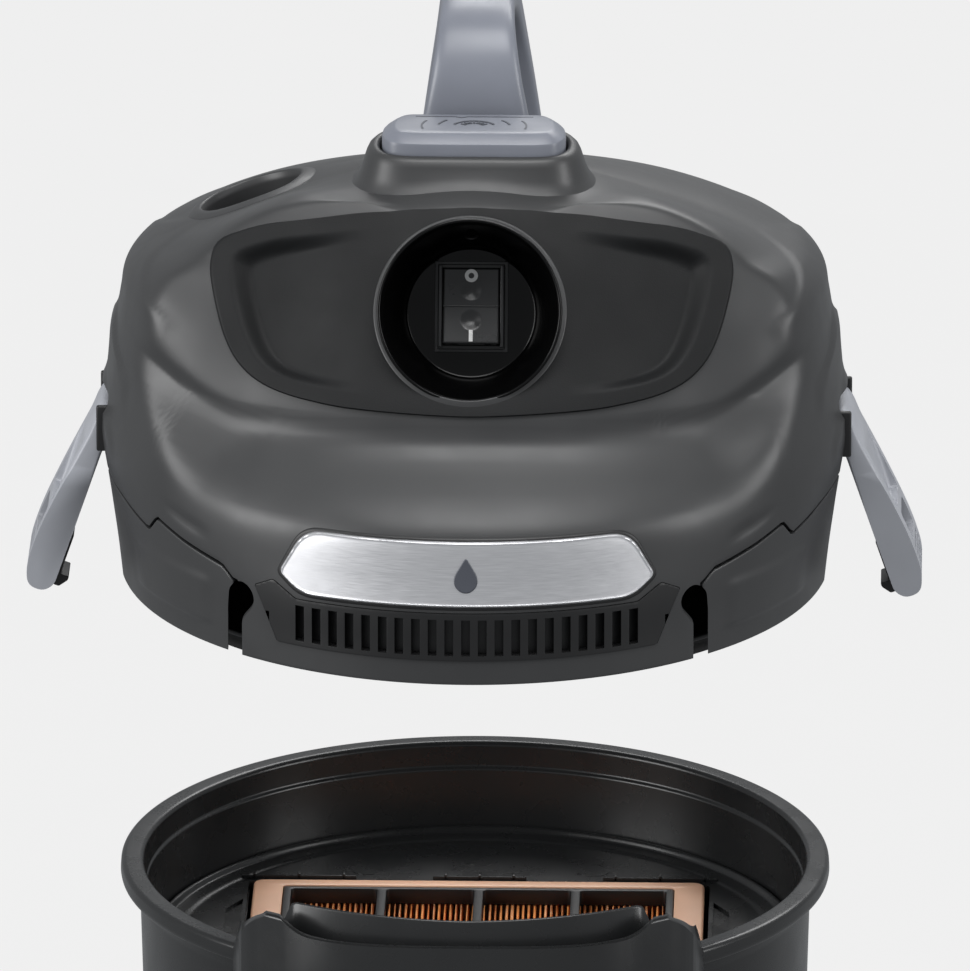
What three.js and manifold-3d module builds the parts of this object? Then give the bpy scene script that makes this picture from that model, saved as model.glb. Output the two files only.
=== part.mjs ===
// A wet and dry shop vacuum with its motor head lifted off the container.
// Millimetres, +Z up, front towards -Y. The origin is on the floor, in the middle of the object's box.
import * as THREE from 'three';
import { mergeVertices } from 'three/addons/utils/BufferGeometryUtils.js';
import Module from 'manifold-3d';

const wasm = await Module();
wasm.setup();

// ---------------------------------------------------------------- driving dimensions
const GAP = 0.3;                    // clearance between neighbouring pieces
const CENTRE_SHIFT_Y = 2.5;         // puts the middle of the whole box over the origin
const SEGMENTS = 40;                // steps round the head's surface
const ROUND = 32;                   // steps round the container and the other large rings

const RIM_TOP = 300;                // height of the container's rim above the floor
const RIM_RADIUS = 165;
const WALL_RADIUS = 156;            // outside of the container wall just below the rim
const FLANGE_DEPTH = 8;
const TANK_FLOOR = 44;
const TANK_WALL = 2.6;
const DECK_TOP = RIM_TOP - 44.5;
const DECK_RADIUS = 150.6;

const HEAD_LIFT = 145;              // height of the lifted head above its closed place
const HEAD_CLEARANCE = 0.6;         // gap that stays under the head when it is closed
const HEAD_BOTTOM = RIM_TOP + HEAD_LIFT + HEAD_CLEARANCE;
const SHELL_WALL = 3;

const FILTER = { halfWidth: 106, front: -30, back: 80, depth: 46 };
const HOSE = { height: 213, bore: 24, tube: 27, flange: 34 };
const CASTER = { ring: 158, wheelRadius: 17.5, wheelWidth: 14, trail: 14 };
const BUTTON = { halfWidth: 42.2, front: -36, back: 3, top: 217, collarTop: 208, skirt: 196 };
const SWITCH = { y: -91.5, z: 151, tilt: THREE.MathUtils.degToRad(20), radius: 43.5, rise: 3 };
const LATCH = { pivotX: 168, pivotZ: 72, length: 88, halfWidth: 23, open: THREE.MathUtils.degToRad(19) };
const SOCKET = { x: -103.5, y: 17, z: 173, lean: THREE.MathUtils.degToRad(15), bore: 23.6, depth: 40 };
const MOTOR = { radius: 62, bottom: 10, top: 110 };

// ---------------------------------------------------------------- colours and finishes
const finish = (color, roughness, metalness = 0) =>
  new THREE.MeshStandardMaterial({ color, roughness, metalness });
const charcoal = () => finish(0x2c2d2f, 0.5);
const black = () => finish(0x101112, 0.45);
const glossBlack = () => finish(0x08090a, 0.15);
const rubber = () => finish(0x161616, 0.9);
const lightGrey = () => finish(0x8d9097, 0.4);
const steel = () => finish(0xa8abb0, 0.3, 0.9);
const copperPlastic = () => finish(0xe2a985, 0.45);
const paper = () => finish(0xd8732c, 0.85);

// ---------------------------------------------------------------- solids and booleans
// A closed solid from a geometry, whichever way round its triangles were listed.
function toSolid(geometry, matrix = new THREE.Matrix4()) {
  const plain = geometry.index ? geometry.toNonIndexed() : geometry.clone();
  plain.deleteAttribute('normal');
  plain.deleteAttribute('uv');
  plain.applyMatrix4(matrix);
  const merged = mergeVertices(plain, 1e-4);
  const positions = merged.attributes.position.array;
  const faces = Array.from(merged.index.array);
  if (signedVolume(positions, faces) < 0) faces.reverse();
  return new wasm.Manifold(new wasm.Mesh({
    numProp: 3,
    vertProperties: new Float32Array(positions),
    triVerts: new Uint32Array(faces),
  }));
}

function toGeometry(solid) {
  const mesh = solid.getMesh();
  const geometry = new THREE.BufferGeometry();
  geometry.setAttribute('position', new THREE.BufferAttribute(mesh.vertProperties, 3));
  geometry.setIndex(new THREE.BufferAttribute(mesh.triVerts, 1));
  return geometry;
}

const shift = (x, y, z) => new THREE.Matrix4().makeTranslation(x, y, z);
const turnX = (angle) => new THREE.Matrix4().makeRotationX(angle);
const turnY = (angle) => new THREE.Matrix4().makeRotationY(angle);
const turnZ = (angle) => new THREE.Matrix4().makeRotationZ(angle);

// A box given by its lowest and highest corners.
function box(low, high, matrix) {
  const size = high.map((value, axis) => value - low[axis]);
  const middle = high.map((value, axis) => (value + low[axis]) / 2);
  const place = shift(...middle);
  return toSolid(new THREE.BoxGeometry(...size), matrix ? matrix.clone().multiply(place) : place);
}

// A solid of revolution about Z from a closed profile of [radius, height] points.
function turned(profile, segments = 48, matrix) {
  const points = profile.map(([radius, height]) => new THREE.Vector2(radius, height));
  const area = THREE.ShapeUtils.area(points);
  if (area < 0) points.reverse();
  points.push(points[0].clone());
  const upright = turnX(Math.PI / 2);
  const place = matrix ? matrix.clone().multiply(upright) : upright;
  return toSolid(new THREE.LatheGeometry(points, segments), place);
}

const ring = (inner, outer, low, high, segments, matrix) =>
  turned([[inner, low], [outer, low], [outer, high], [inner, high]], segments, matrix);

// A rod about Z between two heights.
function rod(radius, low, high, segments = 24, matrix) {
  const upright = shift(0, 0, (low + high) / 2).multiply(turnX(Math.PI / 2));
  const place = matrix ? matrix.clone().multiply(upright) : upright;
  return toSolid(new THREE.CylinderGeometry(radius, radius, high - low, segments), place);
}

// An outline in XY, drawn upwards between two heights.
function prism(points, low, high, matrix, bevel = 0) {
  const shape = points instanceof THREE.Shape
    ? points
    : new THREE.Shape(points.map(([x, y]) => new THREE.Vector2(x, y)));
  const geometry = new THREE.ExtrudeGeometry(shape, {
    depth: high - low - 2 * bevel,
    bevelEnabled: bevel > 0,
    bevelSize: bevel,
    bevelThickness: bevel,
    bevelOffset: -bevel,
    bevelSegments: 2,
    curveSegments: 6,
  });
  const place = shift(0, 0, low + bevel);
  return toSolid(geometry, matrix ? matrix.clone().multiply(place) : place);
}

// Turns an XY outline drawn upwards into an XZ outline drawn from -Y towards +Y.
const facingFront = (y) => shift(0, y, 0).multiply(turnX(Math.PI / 2));

// A solid through a row of closed sections, each with the same number of points.
function loft(sections) {
  const count = sections[0].length;
  const positions = [];
  const faces = [];
  for (const section of sections) {
    for (const point of section) positions.push(...point);
  }
  const ends = [sections[0], sections[sections.length - 1]];
  for (const section of ends) {
    const middle = [0, 1, 2].map((axis) => section.reduce((sum, point) => sum + point[axis], 0) / count);
    positions.push(...middle);
  }
  const first = sections.length * count;
  const last = first + 1;
  for (let row = 0; row + 1 < sections.length; row += 1) {
    for (let step = 0; step < count; step += 1) {
      const next = (step + 1) % count;
      const a = row * count + step;
      const b = row * count + next;
      faces.push(a, b, b + count, a, b + count, a + count);
    }
  }
  const top = (sections.length - 1) * count;
  for (let step = 0; step < count; step += 1) {
    const next = (step + 1) % count;
    faces.push(next, step, first);
    faces.push(top + step, top + next, last);
  }
  return closedMesh(positions, faces);
}

// A solid from points and triangles.
function closedMesh(positions, faces) {
  const geometry = new THREE.BufferGeometry();
  geometry.setAttribute('position', new THREE.Float32BufferAttribute(positions, 3));
  geometry.setIndex(faces);
  return toSolid(geometry);
}

function signedVolume(positions, faces) {
  const corner = (index) => new THREE.Vector3().fromArray(positions, 3 * index);
  let sum = 0;
  for (let face = 0; face < faces.length; face += 3) {
    sum += corner(faces[face]).dot(corner(faces[face + 1]).cross(corner(faces[face + 2])));
  }
  return sum;
}

function piece(name, solid, material) {
  const mesh = new THREE.Mesh(toGeometry(solid), material);
  mesh.name = name;
  return mesh;
}


// ---------------------------------------------------------------- outer surface of the head
// Stations run from the bottom edge to the crown, as [radius, height] at the sides. The back falls
// away a little towards the crown, and the front dome stands a little higher.
const SIDE = [
  [164, 0], [166, 18], [169, 40], [172, 62], [172.3, 78], [168, 108], [167.3, 115], [166, 121],
  [164.7, 127], [163, 134], [161, 142], [154, 150.5], [140, 158.5], [120, 168], [94, 177.5],
  [64, 186.5], [32, 194.5],
];
// The front centre line, as [distance in front of the axis, height, radius of bend, fade from, fade to].
// Its facets are bent round the front, and fade into the side between the two angles in degrees.
const FRONT = [
  [175, 0], [174, 14], [173, 31], [168, 48], [164, 66],
  [158, 76.5, 158, 28, 66], [141, 87, 142, 28, 66], [128, 95.5, 130, 30, 68], [123.5, 101, 124, 32, 70],
  [121, 110, 122, 40, 78], [107, 130, 180, 46, 83], [93, 150, 300, 51, 88], [79, 170, 340, 54, 90],
  [62, 191.5, 360, 54, 90], [46, 196, 400, 54, 90], [32, 198.5, 400, 54, 90], [16, 199, 400, 54, 90],
];
const CROWN = 199.5;
const BACK_FALL = 9;
const FRONT_RISE = 8;
const ROOF_STATION = 9;             // the first station that the fall and the rise reach

function facetRadius(distance, bend, angle) {
  const sine = Math.sin(angle);
  const cosine = Math.cos(angle);
  const quadratic = sine * sine / (2 * bend);
  if (quadratic < 1e-9) return distance / Math.max(cosine, 1e-6);
  return (-cosine + Math.sqrt(cosine * cosine + 4 * quadratic * distance)) / (2 * quadratic);
}

// A point of the head's surface at a station, for an angle measured from the front.
function stationPoint(station, angle) {
  const turn = Math.abs(Math.atan2(Math.sin(angle), Math.cos(angle)));
  const [sideRadius, sideHeight] = SIDE[station];
  const [distance, height, bend, from, to] = FRONT[station];
  const facing = Math.cos(turn);
  const share = Math.min(Math.max((station - ROOF_STATION + 1) / 3, 0), 1);
  const fall = facing < 0 ? -BACK_FALL * facing * facing : FRONT_RISE * facing * (1 - facing * 0.4);
  const roundHeight = sideHeight + share * fall;
  if (bend === undefined) {
    if (facing <= 0) return { radius: sideRadius, height: sideHeight };
    const oval = distance * sideRadius / Math.hypot(distance * Math.sin(turn), sideRadius * facing);
    return { radius: oval, height: THREE.MathUtils.lerp(sideHeight, height, facing * facing) };
  }
  const degrees = THREE.MathUtils.radToDeg(turn);
  const weight = 1 - THREE.MathUtils.smoothstep(degrees, from, to);
  const facet = Math.min(facetRadius(distance, bend, turn), sideRadius);
  return {
    radius: THREE.MathUtils.lerp(sideRadius, facet, weight),
    height: THREE.MathUtils.lerp(roundHeight, height, weight),
  };
}

// The profile at one angle, moved outwards by an offset along its own normal.
function profileAt(angle, offset) {
  const stations = SIDE.map((_, station) => stationPoint(station, angle));
  stations.push({ radius: 0, height: CROWN });
  const moved = stations.map((point, index) => {
    const before = stations[Math.max(index - 1, 0)];
    const after = stations[Math.min(index + 1, stations.length - 1)];
    const along = new THREE.Vector2(after.radius - before.radius, after.height - before.height).normalize();
    if (index === 0) return [point.radius + offset, point.height];
    if (index === stations.length - 1) return [0, point.height + offset];
    return [point.radius + offset * along.y, point.height - offset * along.x];
  });
  return moved;
}

// The closed surface of the head, grown by an offset, as a solid that stands on z = base.
function headVolume(offset, base = 0, segments = SEGMENTS) {
  const positions = [];
  const faces = [];
  const rows = SIDE.length + 1;
  for (let step = 0; step < segments; step += 1) {
    const angle = 2 * Math.PI * step / segments;
    const profile = profileAt(angle, offset).slice(0, -1);
    const column = [[profile[0][0], base - 0.01], ...profile];
    for (const [radius, height] of column) {
      positions.push(radius * Math.sin(angle), -radius * Math.cos(angle), height);
    }
  }
  const crown = segments * rows;
  positions.push(0, 0, CROWN + offset, 0, 0, base - 0.01);
  for (let step = 0; step < segments; step += 1) {
    const here = step * rows;
    const next = ((step + 1) % segments) * rows;
    for (let row = 0; row + 1 < rows; row += 1) {
      faces.push(here + row, next + row, next + row + 1, here + row, next + row + 1, here + row + 1);
    }
    faces.push(here + rows - 1, next + rows - 1, crown);
    faces.push(next, here, crown + 1);
  }
  return closedMesh(positions, faces);
}

// ---------------------------------------------------------------- container
function containerBody() {
  const flangeUnder = RIM_TOP - FLANGE_DEPTH;
  const ledge = DECK_TOP - 5.5;
  return turned([
    [0, TANK_FLOOR], [140, TANK_FLOOR], [147, TANK_FLOOR + 4], [150, TANK_FLOOR + 12],
    [WALL_RADIUS, flangeUnder - 8], [WALL_RADIUS + 1.5, flangeUnder], [RIM_RADIUS - 1, flangeUnder],
    [RIM_RADIUS, flangeUnder + 2], [RIM_RADIUS, RIM_TOP - 2], [RIM_RADIUS - 2, RIM_TOP], [155.5, RIM_TOP],
    [154, RIM_TOP - 1.5], [153.6, RIM_TOP - 12], [152.2, RIM_TOP - 13], [151.4, ledge],
    [147.6, ledge], [147.6, ledge - 5], [150.4, ledge - 12], [147.4, TANK_FLOOR + 13],
    [145, TANK_FLOOR + 6], [139, TANK_FLOOR + TANK_WALL], [0, TANK_FLOOR + TANK_WALL],
  ], ROUND).subtract(hoseBore(HOSE.tube + GAP));
}

// A round hole along Y at the hose inlet.
const alongY = () => shift(0, 0, HOSE.height).multiply(turnX(Math.PI / 2));
const hoseBore = (radius) => rod(radius, 120, 230, 24, alongY());

// The space that the container takes up, with clearance, for cutting its neighbours.
function containerSpace() {
  const clear = GAP + 0.1;
  const flangeUnder = RIM_TOP - FLANGE_DEPTH;
  return turned([
    [0, TANK_FLOOR - clear], [141, TANK_FLOOR - clear], [147.4, TANK_FLOOR + 3.6],
    [150 + clear, TANK_FLOOR + 11.8], [WALL_RADIUS + clear, flangeUnder - 8],
    [WALL_RADIUS + 1.5 + clear, flangeUnder - clear], [RIM_RADIUS + clear, flangeUnder - clear],
    [RIM_RADIUS + clear, RIM_TOP + 60], [0, RIM_TOP + 60],
  ], ROUND);
}

const CASTER_ANGLES = [45, 135, 225, 315].map(THREE.MathUtils.degToRad);
const casterPlace = (angle) => turnZ(angle).multiply(shift(CASTER.ring, 0, 0));

// The ring under the container, with a round pod over each caster.
function baseChassis() {
  let chassis = turned([
    [134, 41], [156.5, 41], [158, 43], [157.5, 66], [150, 66], [134, 42.5],
  ], ROUND);
  for (const angle of CASTER_ANGLES) {
    chassis = chassis.add(rod(26, 41, 60, 16, casterPlace(angle)));
  }
  chassis = chassis.subtract(containerSpace());
  for (const angle of CASTER_ANGLES) {
    chassis = chassis.subtract(rod(5.5 + GAP, 20, 55, 10, casterPlace(angle)));
  }
  return chassis;
}

// The front outline of the inlet fairing in plan, set in by an amount.
function fairingOutline(inset) {
  const half = 108.5 - inset;
  const front = 184 - inset;
  const shape = new THREE.Shape();
  shape.moveTo(half, -90);
  shape.lineTo(-half, -90);
  shape.lineTo(-half, -128);
  shape.quadraticCurveTo(-half, -145 + inset / 2, -half + 15, -156 + inset / 2);
  shape.bezierCurveTo(-half + 45, -176 + inset, -35, -front, 0, -front);
  shape.bezierCurveTo(35, -front, half - 45, -176 + inset, half - 15, -156 + inset / 2);
  shape.quadraticCurveTo(half, -145 + inset / 2, half, -128);
  return shape;
}

const FAIRING = { bottom: 172, front: RIM_TOP + 20.5, ears: RIM_TOP + 27, wall: 3.6, shelf: RIM_TOP - 8 };

// The housing in front of the container wall: a front lip, two raised ears, and a back lip with a
// channel between them that the head's front skirt drops into.
function inletFairing() {
  const lipThickness = 2.2;
  const lipRadius = RIM_RADIUS + GAP + 0.1 + lipThickness;
  const lip = ring(RIM_RADIUS - 4, lipRadius, FAIRING.shelf - 1, FAIRING.ears - 1, ROUND)
    .intersect(box([-78, -200, 200], [78, -90, 400]));
  const cavity = prism(fairingOutline(FAIRING.wall), FAIRING.shelf + 3, 400)
    .intersect(box([-105, -200, 0], [105, 0, 400]));
  const hollow = prism(fairingOutline(FAIRING.wall), 100, FAIRING.shelf);
  const frontCut = prism([
    [-82, FAIRING.front], [-92, 400], [92, 400], [82, FAIRING.front],
  ], 0, 140, facingFront(-60));
  const earCut = prism([
    [-120, 400], [-88, 400], [-94, FAIRING.ears], [-103, FAIRING.ears - 6], [-107, FAIRING.ears - 14],
    [-110, FAIRING.ears - 30], [-120, FAIRING.ears - 30],
  ], 0, 140, facingFront(-60));
  return prism(fairingOutline(0), FAIRING.bottom, FAIRING.ears)
    .subtract(cavity)
    .subtract(hollow)
    .subtract(frontCut)
    .add(lip)
    .subtract(earCut)
    .subtract(mirrorX(earCut))
    .subtract(containerSpace())
    .subtract(hoseBore(HOSE.tube + GAP));
}

// The mirror image of a solid across the YZ plane.
function mirrorX(solid) {
  const mesh = solid.getMesh();
  const positions = Array.from(mesh.vertProperties);
  for (let index = 0; index < positions.length; index += 3) positions[index] = -positions[index];
  return closedMesh(positions, Array.from(mesh.triVerts));
}

// The inlet's tube and the flat ring round its mouth.
function hoseInletCollar() {
  return turned([
    [HOSE.bore, 148], [HOSE.tube, 148], [HOSE.tube, 184.6], [HOSE.flange, 184.6], [HOSE.flange, 189],
    [HOSE.bore + 2, 189], [HOSE.bore, 187],
  ], 24, alongY());
}

// A hood behind the inlet that turns the dirt stream down into the container.
function inletDeflector() {
  const outside = rod(33, 108, 147, 24, alongY());
  const inside = rod(30.5, 111, 150, 24, alongY());
  const openBottom = box([-24, -143, 150], [24, -112, HOSE.height]);
  return outside.subtract(inside).subtract(openBottom).subtract(containerGap());
}

const containerGap = () => ring(146, 200, 100, 260, ROUND);

// ---------------------------------------------------------------- filter deck and cartridge
const FILTER_TOP = DECK_TOP + 2;
const deckOpening = (grow, low, high) => box(
  [-FILTER.halfWidth - grow, FILTER.front - grow, low],
  [FILTER.halfWidth + grow, FILTER.back + grow, high],
);

function filterDeck() {
  const seat = DECK_TOP - 3;
  const body = turned([
    [0, seat], [DECK_RADIUS, seat], [DECK_RADIUS, DECK_TOP + 4], [148.6, DECK_TOP + 4],
    [147, DECK_TOP], [0, DECK_TOP],
  ], ROUND);
  return body
    .subtract(deckOpening(2.5, 100, 400))
    .subtract(rod(24, 200, 300, 24, shift(0, -78, 0)));
}

function deckSeal() {
  return ring(148, 151, DECK_TOP - 5.5 + GAP, DECK_TOP - 3 - GAP, ROUND);
}

// The open box that hangs under the deck and holds the cartridge.
function filterBox() {
  const top = DECK_TOP - 3 - GAP;
  const bottom = FILTER_TOP - FILTER.depth - 6;
  return deckOpening(4.6, bottom, top)
    .subtract(deckOpening(2.2, bottom + 2.4, top + 10))
    .subtract(deckOpening(-12, bottom - 10, top));
}

// The moulded frame round the pleats, with four windows' worth of opening.
function filterFrame() {
  const low = FILTER_TOP - FILTER.depth;
  const window = box([-92, FILTER.front + 10, 0], [92, FILTER.back - 8, 400]);
  const skirt = deckOpening(0, low, FILTER_TOP - 7).subtract(deckOpening(-3, 0, 400));
  const rim = deckOpening(0, FILTER_TOP - 7, FILTER_TOP);
  return rim.add(skirt).subtract(window);
}

// The zigzag block of filter paper.
function filterPleats() {
  const pitch = 9.2;
  const count = 22;
  const low = FILTER_TOP - FILTER.depth + 2;
  const crest = FILTER_TOP - 16;
  const start = -pitch * count / 2;
  const outline = [[start, low]];
  outline.push([-start, low]);
  for (let fold = count; fold > 0; fold -= 1) {
    const right = start + fold * pitch;
    outline.push([right, crest - 7], [right - pitch / 2, crest]);
  }
  outline.push([start, crest - 7]);
  return prism(outline, -FILTER.back + 4, -FILTER.front - 4, turnX(Math.PI / 2));
}

// The black grid over the pleats: an outer frame and three cross bars.
function filterGrid() {
  const low = FILTER_TOP - 8;
  const high = FILTER_TOP - 0.5;
  const front = FILTER.front + 10 + GAP;
  const back = FILTER.back - 8 - GAP;
  let grid = box([-92 + GAP, front, low], [92 - GAP, back, high])
    .subtract(box([-87.5, front + 4, 0], [87.5, back - 3, 400]));
  for (const x of [-45.5, 0, 45.5]) {
    grid = grid.add(box([x - 2.2, front + 2, low], [x + 2.2, back - 2, high]));
  }
  return grid;
}

// ---------------------------------------------------------------- casters
function casterFork() {
  const cheek = CASTER.wheelWidth / 2 + 1.2;
  const arm = CASTER.trail;
  let fork = rod(12, 36, 40.4, 12).add(box([-6, -cheek - 2.2, 36], [arm + 8, cheek + 2.2, 40]));
  for (const side of [-1, 1]) {
    const low = side > 0 ? cheek : -cheek - 2.2;
    const outline = [[arm - 6, 15], [arm + 6, 15], [arm + 8, 38], [-4, 38]];
    fork = fork.add(prism(outline, -low - 2.2, -low, turnX(Math.PI / 2)));
  }
  return fork.add(rod(5.5, 39, 52, 10)).subtract(axleSpace(2.5 + GAP / 2));
}

const axlePlace = () => shift(CASTER.trail, 0, CASTER.wheelRadius).multiply(turnX(Math.PI / 2));
const axleSpace = (radius) => rod(radius, -20, 20, 8, axlePlace());

// A wheel with its moulded stub axles.
function casterWheel() {
  const half = CASTER.wheelWidth / 2;
  const radius = CASTER.wheelRadius;
  const tyre = turned([
    [0, -half], [radius - 4, -half], [radius, -half + 2.5], [radius, half - 2.5], [radius - 4, half],
    [0, half],
  ], 20, axlePlace());
  return tyre.add(rod(2.2, -10.2, 10.2, 8, axlePlace()));
}

// ---------------------------------------------------------------- head shell
// The tall outline of the seam between the shell and the side skirts, as angles from the front in
// degrees against heights. In front of the first angle there is no skirt.
const SEAM = [[38.5, 36], [41, 42], [50, 47], [57, 52], [60, 44], [70, 50], [82, 54], [180, 54]];
const NOTCH = { inner: 101.5, middle: 105, outer: 110, top: 34, hook: 93, hookBottom: 24 };

function seamHeight(angle) {
  const turn = THREE.MathUtils.radToDeg(Math.abs(Math.atan2(Math.sin(angle), Math.cos(angle))));
  const next = SEAM.findIndex(([degrees]) => degrees >= turn);
  if (next <= 0) return SEAM[0][1];
  const [fromTurn, fromHeight] = SEAM[next - 1];
  const [toTurn, toHeight] = SEAM[next];
  return THREE.MathUtils.mapLinear(turn, fromTurn, toTurn, fromHeight, toHeight);
}

// Everything below the seam, moved down by an amount.
function belowSeam(lower) {
  const turns = new Set(SEAM.flatMap(([degrees]) => [degrees, 360 - degrees]));
  for (let degrees = 0; degrees < 360; degrees += 15) turns.add(degrees);
  const angles = [...turns].sort((one, other) => one - other).map(THREE.MathUtils.degToRad);
  const reach = 200;
  const row = (height) => angles.map(
    (angle) => [reach * Math.sin(angle), -reach * Math.cos(angle), height(angle)],
  );
  return loft([row(() => -5), row((angle) => seamHeight(angle) - lower)])
    .subtract(box([-NOTCH.middle, -220, -10], [NOTCH.middle, -60, 100]));
}

// One of the two hooked slots beside the front skirt. Its slot runs up and its top turns inwards.
function notch(side) {
  const outline = [
    [NOTCH.inner, -5], [NOTCH.inner, 18], [NOTCH.hook + 4, NOTCH.hookBottom],
    [NOTCH.hook, NOTCH.hookBottom + 2], [NOTCH.hook, 31], [NOTCH.hook + 5, NOTCH.top], [NOTCH.outer - 4, NOTCH.top], [NOTCH.outer, 29],
    [NOTCH.outer, -5],
  ];
  return prism(outline.map(([x, z]) => [side * x, z]), 90, 200, facingFront(0));
}

const frontOf = (outline, near = -30) => prism(outline, 0, 240 + near, facingFront(near));
const switchPlace = (out = 0) => shift(0, SWITCH.y, SWITCH.z)
  .multiply(turnX(Math.PI / 2 - SWITCH.tilt))
  .multiply(shift(0, 0, out));
// The power switch sits a little above the middle of its dish.
const rockerPlace = (out = 0) => switchPlace(out).multiply(shift(0, SWITCH.rise, 0));
const socketPlace = () => shift(SOCKET.x, SOCKET.y, SOCKET.z).multiply(turnY(-SOCKET.lean));

// The stadium outline of the cleaning button, grown by an amount.
function buttonOutline(grow) {
  const half = BUTTON.halfWidth + grow;
  const front = BUTTON.front - grow;
  const back = BUTTON.back + grow;
  const shape = new THREE.Shape();
  shape.moveTo(-half + 22, front);
  shape.lineTo(half - 22, front);
  shape.quadraticCurveTo(half - 3, front + 2, half, front + 21);
  shape.quadraticCurveTo(half, back - 6, half - 10, back);
  shape.lineTo(-half + 10, back);
  shape.quadraticCurveTo(-half, back - 6, -half, front + 21);
  shape.quadraticCurveTo(-half + 3, front + 2, -half + 22, front);
  return shape;
}

// The six-sided outline shared by the name plate and the grille, in XZ.
const hexagon = (tip, corner, low, high, waist) => [
  [-corner, low], [corner, low], [tip, waist], [corner - 2, high], [-corner + 2, high], [-tip, waist],
];
const grilleOutline = (grow) => hexagon(84 + grow, 77 + grow, 11.5 - grow, 32.5 + grow, 24);

// The recess that a latch lies in, grown by an amount.
function latchPocket(side, grow = 0) {
  const near = 158 - grow;
  const half = 27.5 + grow;
  const low = grow > 0 ? 0 : -5;
  return box([side > 0 ? near : -200, -half, low], [side > 0 ? 200 : -near, half, 88 + grow]);
}

function wholeShell() {
  let shell = headVolume(0).subtract(headVolume(-SHELL_WALL, -1, SEGMENTS / 2));
  shell = shell.subtract(rod(SWITCH.radius + GAP, -60, 60, 32, switchPlace()));
  shell = shell.subtract(rod(SOCKET.bore + 2 + GAP + 0.2, -60, 60, 24, socketPlace()));
  shell = shell.subtract(prism(buttonOutline(1.2), 150, 230));
  shell = shell.subtract(frontOf(grilleOutline(GAP), -100));
  shell = shell.subtract(rod(8 + GAP, 140, 200, 16, glandPlace()));
  const outer = headVolume(0);
  for (const side of [-1, 1]) {
    shell = shell.add(latchPocket(side, 2.6).intersect(outer));
    shell = shell.subtract(latchPocket(side)).subtract(notch(side));
  }
  return shell;
}

const glandPlace = () => shift(0, 0, 34).multiply(turnX(-Math.PI / 2));

// The lattice of 21 upright slots over the motor's outlet.
function exhaustGrille() {
  const slots = { count: 21, pitch: 7.3, width: 4.2 };
  let grille = headVolume(0.8)
    .subtract(headVolume(-SHELL_WALL, -1))
    .intersect(frontOf(grilleOutline(0), -100));
  for (let slot = 0; slot < slots.count; slot += 1) {
    const x = (slot - (slots.count - 1) / 2) * slots.pitch;
    grille = grille.subtract(box([x - slots.width / 2, -200, 13.5], [x + slots.width / 2, -100, 30.5]));
  }
  return grille;
}

const namePlate = () => headVolume(2.2)
  .subtract(headVolume(GAP))
  .intersect(frontOf(hexagon(85, 75, 36, 66, 45), -100));

// The dark panel round the switch, wide at the top and narrower at the bottom.
function shieldPanel() {
  const outline = new THREE.Shape();
  outline.moveTo(0, 110);
  outline.bezierCurveTo(40, 110, 70, 111, 84, 116);
  outline.bezierCurveTo(100, 124, 112, 142, 120, 160);
  outline.bezierCurveTo(122, 170, 116, 174, 108, 177);
  outline.bezierCurveTo(80, 186, 40, 191, 0, 191);
  outline.bezierCurveTo(-40, 191, -80, 186, -108, 177);
  outline.bezierCurveTo(-116, 174, -122, 170, -120, 160);
  outline.bezierCurveTo(-112, 142, -100, 124, -84, 116);
  outline.bezierCurveTo(-70, 111, -40, 110, 0, 110);
  return headVolume(2)
    .subtract(headVolume(GAP))
    .intersect(prism(outline, 28, 240, facingFront(0)))
    .subtract(rod(SWITCH.radius + GAP, -60, 60, 32, switchPlace()));
}

// The round recess that holds the power switch. Its lip follows the shell's surface.
function switchDish() {
  const radius = SWITCH.radius;
  const cup = turned([
    [0, -30], [radius, -30], [radius, 30], [radius - 2.5, 30], [radius - 2.5, -4],
    [31, -22], [29, -26], [0, -26],
  ], 32, switchPlace());
  return cup
    .intersect(headVolume(3.2, 60))
    .subtract(boxAt(rockerPlace(), [15.2, 18.8], -40, 0));
}

// A box centred on a place's own axis, from half widths and two heights along the axis.
const boxAt = (place, [halfX, halfY], low, high) => box([-halfX, -halfY, low], [halfX, halfY, high], place);

// The square frame round the rocker, with a flange on the dish's floor.
const rockerBezel = () => boxAt(rockerPlace(), [14.9, 18.5], -36, -19)
  .add(boxAt(rockerPlace(), [17, 20], -26 + GAP, -22))
  .subtract(boxAt(rockerPlace(), [13.2, 16.2], -50, 0));

const switchBody = () => boxAt(rockerPlace(), [14.7, 18.3], -50, -36 - GAP);

const ROCKER_DEPTH = -21;
const ROCKER_TILT = THREE.MathUtils.degToRad(7);
// The rocker's side view is a shallow V with its ridge at the pivot.
function rockerPaddle() {
  const outline = [
    [-15.3, -4], [-15.3, 1], [-9, 3.5], [0, 1.5], [9, 3.5], [15.3, 1], [15.3, -4], [10, -10], [-10, -10],
  ];
  return prism(outline, -12.8, 12.8, turnY(Math.PI / 2).multiply(turnZ(Math.PI / 2)));
}

// ---------------------------------------------------------------- fittings on the head
function accessorySocket() {
  const { bore, depth } = SOCKET;
  const tube = turned([
    [0, -depth], [bore + 2, -depth], [bore + 2, 2], [bore, 2], [bore, -depth + 2], [0, -depth + 2],
  ], 24, socketPlace());
  const lip = turned([
    [bore, -8], [bore + 7, -8], [bore + 5, 3.6], [bore + 1, 4.4], [bore, 3.6],
  ], 24, socketPlace());
  return lip.subtract(headVolume(GAP)).add(tube);
}

function buttonCollar() {
  return prism(buttonOutline(6), 180, BUTTON.collarTop, undefined, 2)
    .subtract(prism(buttonOutline(1), 150, 230))
    .subtract(headVolume(GAP));
}

const cleaningButton = () => prism(buttonOutline(0), BUTTON.skirt, BUTTON.top, undefined, 1.6);

// The bracket under the shell that the spring stands on and the plunger slides through.
function buttonGuide() {
  const outline = [
    [-50, 168], [50, 168], [50, 184], [47, 184], [47, 171], [-47, 171], [-47, 184], [-50, 184],
  ];
  return prism(outline, -2, 28, turnX(Math.PI / 2)).subtract(rod(4.5, 100, 220, 20, buttonAxis()));
}

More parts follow.
